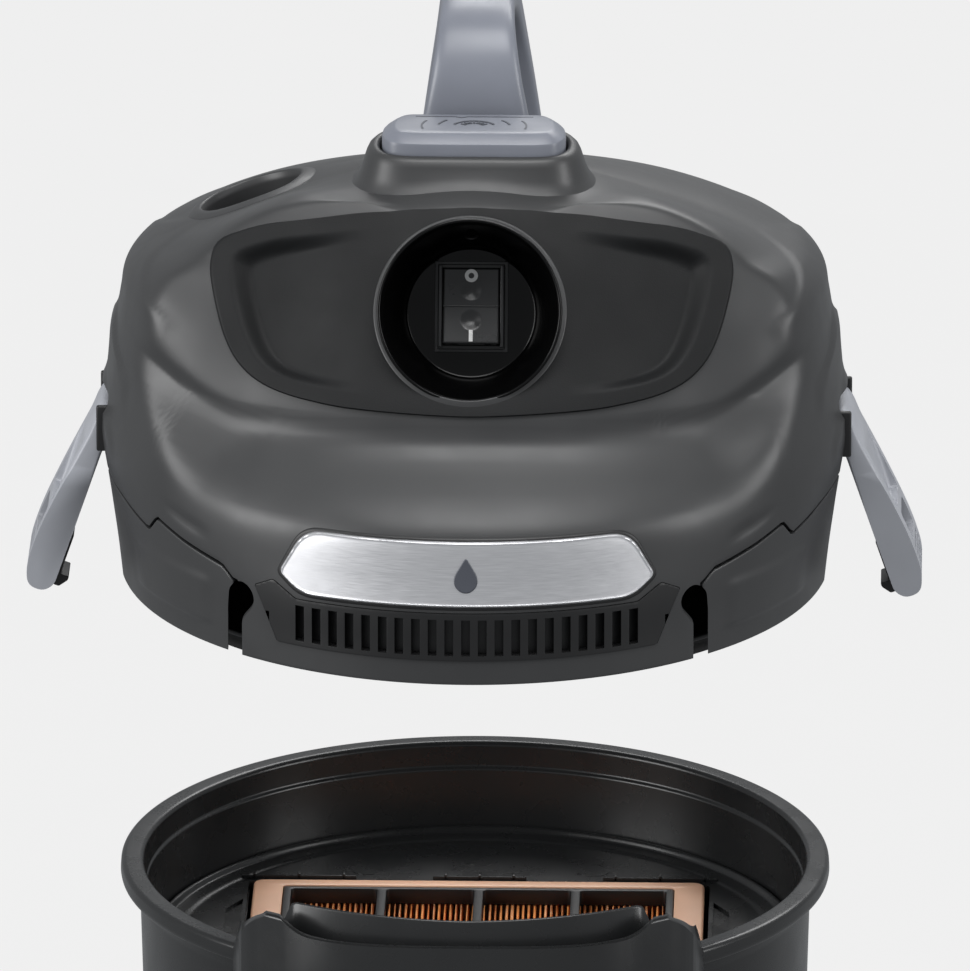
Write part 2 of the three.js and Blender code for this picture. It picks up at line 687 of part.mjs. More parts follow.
const buttonAxis = () => shift(0, (BUTTON.front + BUTTON.back) / 2, 0);
const buttonPlunger = () => rod(4, 148, BUTTON.skirt - GAP, 20, buttonAxis());
const valveDisc = () => turned([
  [0, 140], [15, 140], [18, 143], [18, 146], [6, 148 - GAP], [0, 148 - GAP],
], 20, buttonAxis());

// A helical spring between the guide and the button.
function buttonSpring() {
  const turns = 4;
  const low = 171 + GAP + 1;
  const high = BUTTON.skirt - GAP - 1;
  class Helix extends THREE.Curve {
    getPoint(t, target = new THREE.Vector3()) {
      const angle = 2 * Math.PI * turns * t;
      return target.set(9 * Math.cos(angle), 9 * Math.sin(angle), low + (high - low) * t);
    }
  }
  const wire = new THREE.Shape().absarc(0, 0, 0.8, 0, 2 * Math.PI);
  const geometry = new THREE.ExtrudeGeometry(wire, { steps: 36, curveSegments: 2, extrudePath: new Helix() });
  return toSolid(geometry, buttonAxis());
}

// The middle line of the carrying handle in YZ, with the half width of the bar at each point.
const HANDLE = [
  [18, 180, 27, 7], [18.5, 204, 25, 7], [22, 226, 21, 7.5], [34, 243, 18, 7.5], [56, 249, 17, 7.5],
  [82, 247, 17, 7.5], [105, 238, 18.5, 7.5], [121, 218, 21, 7.5], [130, 190, 25, 7.5], [135, 160, 29, 7.5],
  [138, 134, 31, 7.5],
];

// Sections of a bar along a middle line, each a flattened octagon square to the line.
function barSections(line, inset, depthScale, offset) {
  return line.map(([y, z, halfWidth, halfDepth], index) => {
    const [y0, z0] = line[Math.max(index - 1, 0)];
    const [y1, z1] = line[Math.min(index + 1, line.length - 1)];
    const along = new THREE.Vector2(y1 - y0, z1 - z0).normalize();
    const across = [-along.y, along.x];
    const wide = halfWidth - inset;
    const deep = halfDepth * depthScale;
    const corner = Math.min(deep, wide) * 0.55;
    const section = [
      [wide, deep - corner], [wide - corner, deep], [-wide + corner, deep], [-wide, deep - corner],
      [-wide, -deep + corner], [-wide + corner, -deep], [wide - corner, -deep], [wide, -deep + corner],
    ];
    return section.map(([x, d]) => [x, y + across[0] * (d + offset), z + across[1] * (d + offset)]);
  });
}

const carryingHandle = () => loft(barSections(HANDLE, 0, 1, 0)).subtract(headVolume(GAP));
const handleGrip = () => loft(barSections(HANDLE, 3, 0.3, -10.4).slice(3, 7));

// ---------------------------------------------------------------- inside and under the head
// The plate that closes the head from below, with a cup in the middle for the float.
function headBasePlate() {
  const plate = turned([
    [61, 4], [61, -33], [24, -33], [24, -36], [64, -36], [64, 1], [147, 1], [147, -7], [150, -7], [150, 1],
    [156, 1], [156, 4],
  ], ROUND);
  return plate.subtract(latchPocket(1, 3)).subtract(latchPocket(-1, 3)).subtract(screwHoles(2.3));
}

const SCREW_ANGLES = [45, 135, 225, 315].map(THREE.MathUtils.degToRad);
const SCREW_RADIUS = 130;

function screwHoles(radius) {
  const places = SCREW_ANGLES.map((angle) => turnZ(angle).multiply(shift(SCREW_RADIUS, 0, 0)));
  return places.map((place) => rod(radius, -20, 20, 8, place)).reduce((all, hole) => all.add(hole));
}

const baseScrew = () => turned([
  [0, -2.2], [3, -2.2], [4, -0.6], [4, 1 - GAP], [1.9, 1 - GAP], [1.9, 14], [0, 15],
], 8);

const headGasket = () => turned([
  [150 + GAP, -6.5], [152.6, -6.5], [153, -4], [153, 0.4], [150 + GAP, 0.4],
], ROUND);

// The basket that stops the float, with four windows, and the float inside it.
function floatCage() {
  let cage = turned([
    [6, -38], [23.6, -38], [23.6, -12], [8, -12], [8, -14], [21.4, -14], [21.4, -36], [6, -36],
  ], 14);
  for (const angle of [0, Math.PI / 2]) {
    cage = cage.subtract(box([-40, -7, -31], [40, 7, -17], turnZ(angle)));
  }
  return cage;
}

const floatBall = () => toSolid(new THREE.SphereGeometry(10, 12, 8), shift(0, 0, -27.5));

// The motor's drum. Its bulkhead carries the lower bearing and its lid the upper one.
function motorHousing() {
  const { radius, bottom, top } = MOTOR;
  const inside = radius - 3;
  let drum = turned([
    [inside, bottom], [radius, bottom], [radius, top], [12.4, top], [12.4, top - 6], [inside, top - 6],
    [inside, 44], [12.4, 44], [12.4, 39], [inside, 39],
  ], 22);
  for (let window = 0; window < 4; window += 1) {
    drum = drum.subtract(box([40, -6, 88], [80, 6, 100], turnZ(Math.PI * (window + 0.5) / 2)));
  }
  return drum;
}

const bearing = (low) => ring(4 + GAP, 12.4 - GAP, low, low + 5, 16);

function motorStator() {
  const core = ring(34, 50, 52, 84, 20);
  const slots = [0, Math.PI].map((angle) => box([26, -9, 45], [42, 9, 90], turnZ(angle)));
  return core.subtract(slots[0]).subtract(slots[1]);
}

// The shaft with its armature and commutator.
function motorRotor() {
  const shaft = rod(4, 12, 109, 16);
  let armature = rod(31, 54, 82, 20);
  for (let slot = 0; slot < 8; slot += 1) {
    armature = armature.subtract(box([26, -1.2, 50], [40, 1.2, 90], turnZ(2 * Math.PI * slot / 8)));
  }
  return shaft.add(armature).add(rod(12, 86, 97, 20));
}

// Two discs with swept blades between them.
function fanImpeller() {
  let fan = ring(4 + GAP, 54, 32, 34, 24)
    .add(ring(20, 54, 18, 20, 24))
    .add(ring(4 + GAP, 9, 20, 33, 16));
  for (let blade = 0; blade < 7; blade += 1) {
    const place = turnZ(2 * Math.PI * blade / 7).multiply(shift(36, 0, 0)).multiply(turnZ(0.5));
    fan = fan.add(box([-15, -0.9, 19], [15, 0.9, 33], place));
  }
  return fan;
}

// A rubber sleeve where the mains lead would leave the back of the head.
const cordGland = () => turned([
  [4.2, 160], [8, 160], [8, 172.5], [11, 172.5], [11, 175.5], [8, 177], [7, 184], [4.2, 184],
], 16, glandPlace());

// ---------------------------------------------------------------- latches
// Everything about a latch is drawn for the right side, in the head's frame, and closed.
const latchPlace = () => shift(LATCH.pivotX, 0, LATCH.pivotZ);

function latchBracket() {
  const half = 27;
  let bracket = box([158 + GAP, -half, 5], [160.4, half, 86]);
  for (const side of [-1, 1]) {
    const low = side > 0 ? LATCH.halfWidth + 0.5 : -half + GAP;
    bracket = bracket.add(box([160, low, 60], [174, low + 3, 82]));
  }
  return bracket.subtract(pinSpace(2.3 + GAP));
}

const pinPlace = () => latchPlace().multiply(turnX(Math.PI / 2));
const pinSpace = (radius) => rod(radius, -40, 40, 16, pinPlace());
const latchPin = () => rod(2.2, -26.4, 26.4, 16, pinPlace());

// The lever seen from the front: a long bar, thin at the top and bulging outwards near the finger pad.
function latchLever() {
  const reach = LATCH.length;
  const outline = new THREE.Shape();
  outline.moveTo(-1, -12);
  outline.lineTo(-1, -reach + 3);
  outline.quadraticCurveTo(0, -reach, 4, -reach);
  outline.quadraticCurveTo(9.5, -reach, 9.5, -reach + 6);
  outline.lineTo(9, -reach + 26);
  outline.lineTo(6.8, -34);
  outline.lineTo(7, 0);
  outline.absarc(0, 0, 7, 0, Math.PI * 0.75);
  outline.quadraticCurveTo(-6, -4, -1, -12);
  const bar = prism(outline, -LATCH.halfWidth, LATCH.halfWidth, latchPlace().multiply(turnX(Math.PI / 2)));
  const window = latchPlace().multiply(shift(0, 0, -reach + 30));
  const panel = latchPlace().multiply(shift(0, 0, -30));
  let lever = bar
    .subtract(box([-20, -13, -7], [20, 13, 7], window))
    .subtract(box([4.2, -17, -16], [20, 17, 16], panel))
    .subtract(pinSpace(2.3 + GAP));
  for (let groove = 0; groove < 5; groove += 1) {
    const height = -reach + 5 + groove * 3.4;
    lever = lever.subtract(box([8.4, -15, height], [20, 15, height + 1.5], latchPlace()));
  }
  return lever;
}

// The hook on the inside of the lever that grips under the container's rim.
function latchClaw() {
  const grip = -LATCH.pivotZ - FLANGE_DEPTH - HEAD_CLEARANCE - 0.6;
  const outline = [
    [-1 - GAP, grip + 20], [-1 - GAP, grip - 6], [-4, grip - 6], [-7, grip - 2], [-7, grip], [-2.6, grip],
    [-2.6, grip + 20],
  ];
  return prism(outline, -10, 10, latchPlace().multiply(turnX(Math.PI / 2)));
}

// ---------------------------------------------------------------- assembly
const vacuum = new THREE.Group();
vacuum.name = 'shop_vacuum';
vacuum.position.y = CENTRE_SHIFT_Y;

const container = new THREE.Group();
container.add(
  piece('container_body', containerBody(), charcoal()),
  piece('base_chassis', baseChassis(), black()),
  piece('inlet_fairing', inletFairing(), charcoal()),
  piece('hose_inlet_collar', hoseInletCollar(), black()),
  piece('inlet_deflector', inletDeflector(), black()),
  piece('filter_deck', filterDeck(), charcoal()),
  piece('deck_seal', deckSeal(), rubber()),
  piece('filter_box', filterBox(), black()),
);
vacuum.add(container);

const cartridge = new THREE.Group();
cartridge.add(
  piece('filter_frame', filterFrame(), copperPlastic()),
  piece('filter_pleats', filterPleats(), paper()),
  piece('filter_grid', filterGrid(), black()),
);
vacuum.add(cartridge);

const casterNames = ['back_right', 'back_left', 'front_left', 'front_right'];
CASTER_ANGLES.forEach((angle, index) => {
  const caster = new THREE.Group();
  caster.position.set(CASTER.ring * Math.cos(angle), CASTER.ring * Math.sin(angle), 0);
  caster.add(
    piece(`caster_fork_${casterNames[index]}`, casterFork(), black()),
    piece(`caster_wheel_${casterNames[index]}`, casterWheel(), rubber()),
  );
  vacuum.add(caster);
});

const head = new THREE.Group();
head.position.z = HEAD_BOTTOM;
const shell = wholeShell();
head.add(
  piece('head_shell', shell.subtract(belowSeam(0)), charcoal()),
  piece('side_skirts', shell.intersect(belowSeam(0.4)), charcoal()),
  piece('shield_panel', shieldPanel(), black()),
  piece('exhaust_grille', exhaustGrille(), black()),
  piece('name_plate', namePlate(), steel()),
  piece('switch_dish', switchDish(), glossBlack()),
  piece('rocker_bezel', rockerBezel(), glossBlack()),
  piece('switch_body', switchBody(), black()),
  piece('accessory_socket', accessorySocket(), black()),
  piece('button_collar', buttonCollar(), charcoal()),
  piece('button_guide', buttonGuide(), black()),
  piece('carrying_handle', carryingHandle(), lightGrey()),
  piece('handle_grip', handleGrip(), rubber()),
  piece('head_base_plate', headBasePlate(), black()),
  piece('head_gasket', headGasket(), rubber()),
  piece('float_cage', floatCage(), black()),
  piece('float_ball', floatBall(), lightGrey()),
  piece('motor_housing', motorHousing(), black()),
  piece('motor_stator', motorStator(), steel()),
  piece('lower_bearing', bearing(39), steel()),
  piece('upper_bearing', bearing(MOTOR.top - 6), steel()),
  piece('motor_rotor', motorRotor(), steel()),
  piece('fan_impeller', fanImpeller(), black()),
  piece('cord_gland', cordGland(), rubber()),
  piece('cleaning_button', cleaningButton(), lightGrey()),
  piece('button_plunger', buttonPlunger(), black()),
  piece('valve_disc', valveDisc(), rubber()),
  piece('button_spring', buttonSpring(), steel()),
);

const rocker = new THREE.Group();
rocker.applyMatrix4(rockerPlace(ROCKER_DEPTH).multiply(turnX(-ROCKER_TILT)));
rocker.add(piece('power_rocker', rockerPaddle(), glossBlack()));
head.add(rocker);

SCREW_ANGLES.forEach((angle, index) => {
  const screw = piece(`base_screw_${index + 1}`, baseScrew(), steel());
  screw.position.set(SCREW_RADIUS * Math.cos(angle), SCREW_RADIUS * Math.sin(angle), 0);
  head.add(screw);
});

for (const [side, turn] of [['right', 0], ['left', Math.PI]]) {
  const mount = new THREE.Group();
  mount.rotation.z = turn;
  mount.add(
    piece(`latch_bracket_${side}`, latchBracket(), black()),
    piece(`latch_pin_${side}`, latchPin(), steel()),
  );
  const swing = new THREE.Group();
  swing.applyMatrix4(latchPlace().multiply(turnY(-LATCH.open)).multiply(latchPlace().invert()));
  swing.add(
    piece(`latch_lever_${side}`, latchLever(), lightGrey()),
    piece(`latch_claw_${side}`, latchClaw(), black()),
  );
  mount.add(swing);
  head.add(mount);
}
vacuum.add(head);

export default vacuum;
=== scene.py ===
"""A wet and dry shop vacuum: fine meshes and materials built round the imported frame.

Lengths are in millimetres in each assembly's own space, and make() turns them into metres.
"""

import math

import bmesh
import bpy
import numpy as np
from mathutils import Matrix, Vector
from mathutils.bvhtree import BVHTree


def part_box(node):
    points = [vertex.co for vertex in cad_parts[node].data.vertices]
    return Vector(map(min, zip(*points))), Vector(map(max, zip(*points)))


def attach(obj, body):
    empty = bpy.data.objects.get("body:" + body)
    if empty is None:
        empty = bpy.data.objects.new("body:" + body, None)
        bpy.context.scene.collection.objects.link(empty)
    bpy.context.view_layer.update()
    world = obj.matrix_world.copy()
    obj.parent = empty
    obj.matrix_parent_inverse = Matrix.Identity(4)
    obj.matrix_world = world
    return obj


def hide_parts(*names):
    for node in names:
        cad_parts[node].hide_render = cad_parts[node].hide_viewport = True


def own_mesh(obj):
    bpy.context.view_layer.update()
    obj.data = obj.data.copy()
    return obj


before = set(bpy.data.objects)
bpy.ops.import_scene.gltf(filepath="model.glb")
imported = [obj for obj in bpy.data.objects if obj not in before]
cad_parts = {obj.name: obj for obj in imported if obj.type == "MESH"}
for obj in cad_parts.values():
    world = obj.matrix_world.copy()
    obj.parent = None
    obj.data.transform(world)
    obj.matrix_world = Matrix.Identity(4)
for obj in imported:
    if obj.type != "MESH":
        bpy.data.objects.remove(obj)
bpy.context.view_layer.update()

MM = 0.001
UP = Vector((0, 0, 1))


def lowest(node):
    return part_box(node)[0] / MM


def highest(node):
    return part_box(node)[1] / MM


# ---------------------------------------------------------------- places read from the frame
AXIS_Y = (lowest("deck_seal").y + highest("deck_seal").y) / 2
RIM_TOP = highest("container_body").z
RIM_RADIUS = highest("container_body").x
TANK_FLOOR = lowest("container_body").z
DECK_TOP = highest("filter_deck").z - 4
HEAD_Z = lowest("head_shell").z + 0.01
BASE = Matrix.Translation((0, AXIS_Y, 0))
HEAD = Matrix.Translation((0, AXIS_Y, HEAD_Z))

SWITCH_TILT = math.radians(20)
SWITCH_RADIUS = 43.5
SWITCH_RISE = 3
SWITCH = HEAD @ Matrix.Translation((0, -91.5, 151)) @ Matrix.Rotation(math.pi / 2 - SWITCH_TILT, 4, "X")
ROCKER = SWITCH @ Matrix.Translation((0, SWITCH_RISE, 0))
ROCKER_HALF = 12.8
ROCKER_END = 17.4
SOCKET_BORE = 23.6
SOCKET = HEAD @ Matrix.Translation((-103.5, 17, 173)) @ Matrix.Rotation(math.radians(-15), 4, "Y")
HOSE_HEIGHT = 213
HOSE_HOLE = 27.3
HOSE = BASE @ Matrix.Translation((0, 0, HOSE_HEIGHT)) @ Matrix.Rotation(math.pi / 2, 4, "X")
BUTTON_TOP = 217
BUTTON_MIDDLE = -16.5
LATCH_PIVOT = (168, 72)
LATCH_OPEN = math.radians(19)
PIN_BORE = 2.6
FILTER_FRONT = lowest("filter_frame").y - AXIS_Y
FILTER_BACK = highest("filter_frame").y - AXIS_Y
FILTER_HALF = highest("filter_frame").x
FILTER_TOP = highest("filter_frame").z
SIDES = (("right", 1), ("left", -1))
CASTER_RING = 158
CORNERS = {"back_right": 45, "back_left": 135, "front_left": 225, "front_right": 315}


# ---------------------------------------------------------------- materials
# Nearly all of a noise texture's values lie between these two.
NOISE_LOW = 0.3
NOISE_HIGH = 0.7


def new_material(name, color, roughness, **sockets):
    material = bpy.data.materials.new(name)
    material.use_nodes = True
    shader = material.node_tree.nodes["Principled BSDF"]
    shader.inputs["Base Color"].default_value = (*color, 1)
    shader.inputs["Roughness"].default_value = roughness
    for socket, value in sockets.items():
        shader.inputs[socket.replace("_", " ").title().replace("Ior", "IOR")].default_value = value
    return material


def noise(material, scale, detail, stretch=None):
    """A noise texture in the piece's own space, where one unit is a metre."""
    tree = material.node_tree
    place = tree.nodes.new("ShaderNodeTexCoord")
    texture = tree.nodes.new("ShaderNodeTexNoise")
    texture.inputs["Scale"].default_value = scale
    texture.inputs["Detail"].default_value = detail
    source = place.outputs["Object"]
    if stretch:
        mapping = tree.nodes.new("ShaderNodeMapping")
        mapping.inputs["Scale"].default_value = stretch
        tree.links.new(source, mapping.inputs["Vector"])
        source = mapping.outputs["Vector"]
    tree.links.new(source, texture.inputs["Vector"])
    return texture


def ranged(material, source, low, high, socket):
    """Sends a texture to one of the shader's sockets, spread between two values."""
    tree = material.node_tree
    spread = tree.nodes.new("ShaderNodeMapRange")
    spread.inputs["From Min"].default_value = NOISE_LOW
    spread.inputs["From Max"].default_value = NOISE_HIGH
    spread.inputs["To Min"].default_value = low
    spread.inputs["To Max"].default_value = high
    tree.links.new(source, spread.inputs["Value"])
    tree.links.new(spread.outputs["Result"], tree.nodes["Principled BSDF"].inputs[socket])


def tinted(material, source, low, high, start=NOISE_LOW, end=NOISE_HIGH):
    """Colours a surface between two colours by a texture."""
    tree = material.node_tree
    ramp = tree.nodes.new("ShaderNodeValToRGB")
    ramp.color_ramp.elements[0].position = start
    ramp.color_ramp.elements[0].color = (*low, 1)
    ramp.color_ramp.elements[1].position = end
    ramp.color_ramp.elements[1].color = (*high, 1)
    tree.links.new(source, ramp.inputs["Fac"])
    tree.links.new(ramp.outputs["Color"], tree.nodes["Principled BSDF"].inputs["Base Color"])


def bumped(material, source, strength, depth):
    tree = material.node_tree
    bump = tree.nodes.new("ShaderNodeBump")
    bump.inputs["Strength"].default_value = strength
    bump.inputs["Distance"].default_value = depth * MM
    tree.links.new(source, bump.inputs["Height"])
    tree.links.new(bump.outputs["Normal"], tree.nodes["Principled BSDF"].inputs["Normal"])


def moulded(name, color, roughness, grain=2600, strength=0.25, depth=0.05, **sockets):
    """Moulded plastic: a spark-eroded grain, a faint mottle, and a roughness that wanders a little."""
    material = new_material(name, color, roughness, **sockets)
    mottle = noise(material, 14, 4)
    tinted(material, mottle.outputs["Fac"], [c * 0.9 for c in color], [min(c * 1.1, 1) for c in color])
    handled = noise(material, 45, 5)
    ranged(material, handled.outputs["Fac"], roughness - 0.035, roughness + 0.045, "Roughness")
    bumped(material, noise(material, grain, 2).outputs["Fac"], strength, depth)
    return material


def brushed(name, color, roughness, stretch):
    """Metal with fine straight brush lines."""
    material = new_material(name, color, roughness, metallic=1.0)
    lines = noise(material, 300, 4, stretch)
    tinted(material, lines.outputs["Fac"], [c * 0.93 for c in color], color, 0.35, 0.65)
    ranged(material, lines.outputs["Fac"], roughness - 0.04, roughness + 0.06, "Roughness")
    bumped(material, lines.outputs["Fac"], 0.06, 0.01)
    return material


def pleated_paper():
    """Orange filter paper whose fold tips turn paler in speckles, with fibres in between."""
    material = new_material("filter_paper", (0.75, 0.27, 0.07), 0.85)
    tree = material.node_tree
    place = tree.nodes.new("ShaderNodeTexCoord")
    split = tree.nodes.new("ShaderNodeSeparateXYZ")
    tree.links.new(place.outputs["Object"], split.inputs["Vector"])
    height = tree.nodes.new("ShaderNodeMapRange")
    height.inputs["From Min"].default_value = (FILTER_TOP - 9.3) * MM
    height.inputs["From Max"].default_value = (FILTER_TOP - 7.2) * MM
    tree.links.new(split.outputs["Z"], height.inputs["Value"])
    speckle = noise(material, 900, 3)
    gate = tree.nodes.new("ShaderNodeMath")
    gate.operation = "MULTIPLY"
    tree.links.new(height.outputs["Result"], gate.inputs[0])
    tree.links.new(speckle.outputs["Fac"], gate.inputs[1])
    tinted(material, gate.outputs["Value"], (0.92, 0.36, 0.09), (0.97, 0.86, 0.74), 0.2, 0.6)
    bumped(material, noise(material, 1500, 4).outputs["Fac"], 0.5, 0.2)
    return material


CHARCOAL = moulded("charcoal_plastic", (0.034, 0.0345, 0.0355), 0.40)
TANK = moulded("container_plastic", (0.014, 0.0145, 0.015), 0.27, 1800, 0.06)
PANEL = moulded(
    "panel_plastic", (0.0068, 0.0072, 0.0077), 0.58, 1500, 0.5, 0.12, specular_ior_level=0.24,
)
BLACK = moulded("black_plastic", (0.007, 0.007, 0.0075), 0.42)
SATIN = moulded("satin_black", (0.024, 0.0245, 0.0255), 0.3, 2200, 0.1)
GLOSS = moulded("gloss_black", (0.0015, 0.0015, 0.0016), 0.2, 900, 0.03, specular_ior_level=0.25)
GREY = moulded("grey_plastic", (0.165, 0.175, 0.205), 0.34, 2200, 0.12)
# The latches' grey is the same plastic as GREY, painted lighter: painted light standing in for the light that
# falls on the latches' front faces.
LATCH_GREY_PAINTED_LIGHT = moulded("grey_plastic_painted_lighter", (0.33, 0.34, 0.37), 0.36, 2200, 0.12)
RUBBER = moulded("soft_rubber", (0.012, 0.012, 0.012), 0.78, 3000, 0.4)
COPPER = moulded("copper_plastic", (0.88, 0.50, 0.32), 0.40, 1800, 0.2, subsurface_weight=0.05)
WHITE_INK = moulded("white_ink", (0.8, 0.8, 0.79), 0.5)
DARK_INK = moulded("dark_ink", (0.06, 0.065, 0.08), 0.5)
STEEL = brushed("steel", (0.56, 0.57, 0.59), 0.3, (1, 1, 12))
SILVER = brushed("silver_plate", (0.80, 0.80, 0.82), 0.42, (0.3, 1, 14))
PAPER = pleated_paper()


# ---------------------------------------------------------------- mesh tools
def make(name, points, faces, place=BASE):
    """A mesh object from points in millimetres in a place's space."""
    array = np.asarray(points, float).reshape(-1, 3)
    matrix = np.array(place, float)
    world = (array @ matrix[:3, :3].T + matrix[:3, 3]) * MM
    mesh = bpy.data.meshes.new(name)
    mesh.from_pydata(world.tolist(), [], faces)
    obj = bpy.data.objects.new(name, mesh)
    bpy.context.scene.collection.objects.link(obj)
    return obj


def tidy_mesh(obj):
    """Merges doubled points and makes the faces point outwards."""
    work = bmesh.new()
    work.from_mesh(obj.data)
    bmesh.ops.remove_doubles(work, verts=work.verts, dist=1e-7)
    bmesh.ops.dissolve_degenerate(work, edges=work.edges, dist=1e-8)
    bmesh.ops.recalc_face_normals(work, faces=work.faces)
    work.to_mesh(obj.data)
    work.free()
    return obj


def grid_faces(count, length, around=True, closed=False):
    """The faces between rows of points that are counted row by row."""
    faces = []
    for row in range(count if closed else count - 1):
        here, there = row * length, (row + 1) % count * length
        for step in range(length if around else length - 1):
            after = (step + 1) % length
            faces.append((here + step, here + after, there + after, there + step))
    return faces


def grid(name, rows, place=BASE, around=True, closed=False, cap=(False, False)):
    """A surface through rows of points. around joins each row's ends, closed the last row to the first."""
    rows = np.asarray(rows, float)
    count, length = rows.shape[:2]
    faces = grid_faces(count, length, around, closed)
    if cap[0]:
        faces.append(tuple(reversed(range(length))))
    if cap[1]:
        faces.append(tuple(range((count - 1) * length, count * length)))
    return tidy_mesh(make(name, rows.reshape(-1, 3), faces, place))


def softened(points, reach, steps=5):
    """A closed outline whose corners are rounded. reach is how far from each corner the rounding starts."""
    points = [np.array(p, float) for p in points]
    reaches = reach if isinstance(reach, (list, tuple)) else [reach] * len(points)
    made = []
    for index, (point, want) in enumerate(zip(points, reaches)):
        if want <= 0:
            made.append(point)
            continue
        before, after = points[index - 1], points[(index + 1) % len(points)]
        back, ahead = before - point, after - point
        start = point + back * min(want / np.linalg.norm(back), 0.48)
        end = point + ahead * min(want / np.linalg.norm(ahead), 0.48)
        for step in range(steps + 1):
            t = step / steps
            made.append((1 - t) ** 2 * start + 2 * t * (1 - t) * point + t * t * end)
    return [tuple(p) for p in made]


def lathe(name, profile, place=BASE, reach=0.8, segments=144):
    """A solid of revolution from a closed profile of (radius, height), with its corners rounded."""
    on_axis = [radius == 0 for radius, _ in profile]
    outline = softened(profile, [0 if axis else reach for axis in on_axis])
    solid = on_axis[0] and on_axis[-1]
    turns = np.linspace(0, 2 * math.pi, segments, endpoint=False)
    rows = [[(r * math.cos(a), r * math.sin(a), z) for a in turns] for r, z in outline]
    return grid(name, rows, place, closed=not solid)


def rod(name, radius, low, high, place, reach=0, segments=144):
    """A round bar along a place's axis."""
    return lathe(name, [(0, low), (radius, low), (radius, high), (0, high)], place, reach, segments)


def slab(name, outline, low, high, place=BASE, bevel=0.6, segments=3):
    """An outline in XY drawn up between two heights, with rounded edges."""
    count = len(outline)
    points = [(x, y, low) for x, y in outline] + [(x, y, high) for x, y in outline]
    faces = [tuple(reversed(range(count))), tuple(range(count, 2 * count))]
    faces += [(i, (i + 1) % count, count + (i + 1) % count, count + i) for i in range(count)]
    obj = tidy_mesh(make(name, points, faces, place))
    return rounded(obj, bevel, segments) if bevel else obj


def eased(obj, width, segments, angle):
    """Adds a modifier that rounds the edges sharper than an angle."""
    edges = obj.modifiers.new("edges", "BEVEL")
    edges.width = width * MM
    edges.segments = segments
    edges.limit_method = "ANGLE"
    edges.angle_limit = math.radians(angle)
    return obj


def rounded(obj, width, segments=3, angle=40):
    return applied(eased(obj, width, segments, angle))


def walled(obj, thickness):
    """Adds a modifier that gives a surface a wall on its inner side."""
    wall = obj.modifiers.new("wall", "SOLIDIFY")
    wall.thickness = thickness * MM
    wall.offset = -1
    return obj


def applied(obj):
    """Puts what the modifiers make into the mesh."""
    graph = bpy.context.evaluated_depsgraph_get()
    obj.data = bpy.data.meshes.new_from_object(obj.evaluated_get(graph))
    obj.modifiers.clear()
    return obj


def block(name, low, high, place=BASE, bevel=0.6, segments=3):
    (x0, y0, z0), (x1, y1, z1) = low, high
    return slab(name, [(x0, y0), (x1, y0), (x1, y1), (x0, y1)], z0, z1, place, bevel, segments)


def joined(name, objs):
    """Several meshes as one object."""
    work = bmesh.new()
    for obj in objs:
        work.from_mesh(obj.data)
    mesh = bpy.data.meshes.new(name)
    work.to_mesh(mesh)
    work.free()
    for obj in objs:
        bpy.data.objects.remove(obj)
    made = bpy.data.objects.new(name, mesh)
    bpy.context.scene.collection.objects.link(made)
    return made


def combined(obj, other, operation):
    """Cuts, joins or keeps what two solids share, then removes the other."""
    modifier = obj.modifiers.new(operation, "BOOLEAN")
    modifier.operation = operation
    modifier.solver = "EXACT"
    modifier.object = other
    applied(obj)
    bpy.data.objects.remove(other)
    return obj


def cut(obj, *cutters):
    for cutter in cutters:
        combined(obj, cutter, "DIFFERENCE")
    return obj


def added(obj, *others):
    for other in others:
        combined(obj, other, "UNION")
    return obj


def turned(place, angle, axis="Z"):
    return place @ Matrix.Rotation(angle, 4, axis)


def moved(place, x=0, y=0, z=0):
    return place @ Matrix.Translation((x, y, z))


def front_on(place, y):
    """A place whose XY plane stands upright and faces the front."""
    return turned(moved(place, y=y), math.pi / 2, "X")


def mirrored(points):
    """The same points on the other side, in reverse order."""
    return [(-x, y) for x, y in reversed(points)]


def settle(obj, body, material, *nodes, sharp=38):
    """Gives a piece its material, shading and body, and hides the frame's nodes that it stands for."""
    obj.data.materials.clear()
    obj.data.materials.append(material)
    obj.data.shade_smooth()
    obj.data.set_sharp_from_angle(angle=math.radians(sharp))
    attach(obj, body)
    if nodes:
        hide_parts(*nodes)
    return obj


# ---------------------------------------------------------------- camera
def way_to(azimuth, elevation):
    """The way from the object to something that stands at two angles, azimuth from the front."""
    level = math.cos(elevation)
    return Vector((math.sin(azimuth) * level, -math.cos(azimuth) * level, math.sin(elevation)))


def make_camera():
    """The camera stands far off and looks down a little, slightly from the right of the front."""
    azimuth, elevation, distance = math.radians(1.4), math.radians(19), 9.0
    aim = Vector((0.0046, AXIS_Y * MM, 0.4814))
    back = way_to(azimuth, elevation)
    camera = bpy.data.objects.new("camera", bpy.data.cameras.new("camera"))
    camera.data.sensor_width = 36
    camera.data.lens = 721.4
    camera.data.clip_end = 100
    camera.location = aim + back * distance
    camera.rotation_mode = "QUATERNION"
    camera.rotation_quaternion = (-back).to_track_quat("-Z", "Y")
    bpy.context.scene.collection.objects.link(camera)
    bpy.context.scene.camera = camera


# ---------------------------------------------------------------- the head's outer surface
# The round body: (radius at the sides, height), then (distance in front, height) where it bulges forward.
SIDE = [
    (164, 0), (166, 18), (169, 40), (172, 62), (172.3, 78), (168, 108), (167.3, 115), (166, 121),
    (164.7, 127), (163, 134), (161, 142), (154, 150.5), (140, 158.5), (120, 168), (94, 177.5),
    (64, 186.5), (32, 194.5), (0, 199.5),
]
FRONT = [(175, 0), (174, 14), (173, 31), (170, 48), (168, 66)]
BACK_FALL = 9
FRONT_RISE = 8
ROOF_STATION = 9
# The front face that trims it: (height, distance in front, bend radius across). It has a ledge under the
# dark panel, whose ends turn up.
FACE = [
    (10, 225, 158), (50, 189, 158), (76, 158.5, 158), (87, 141, 165), (95.5, 128, 185), (101, 123.5, 200),
    (110, 121, 215), (130, 107, 270), (150, 93, 300), (170, 79, 340), (191.5, 61.5, 360), (215, 42, 360),
]
SMILE_RISE = 36
BROW = 12

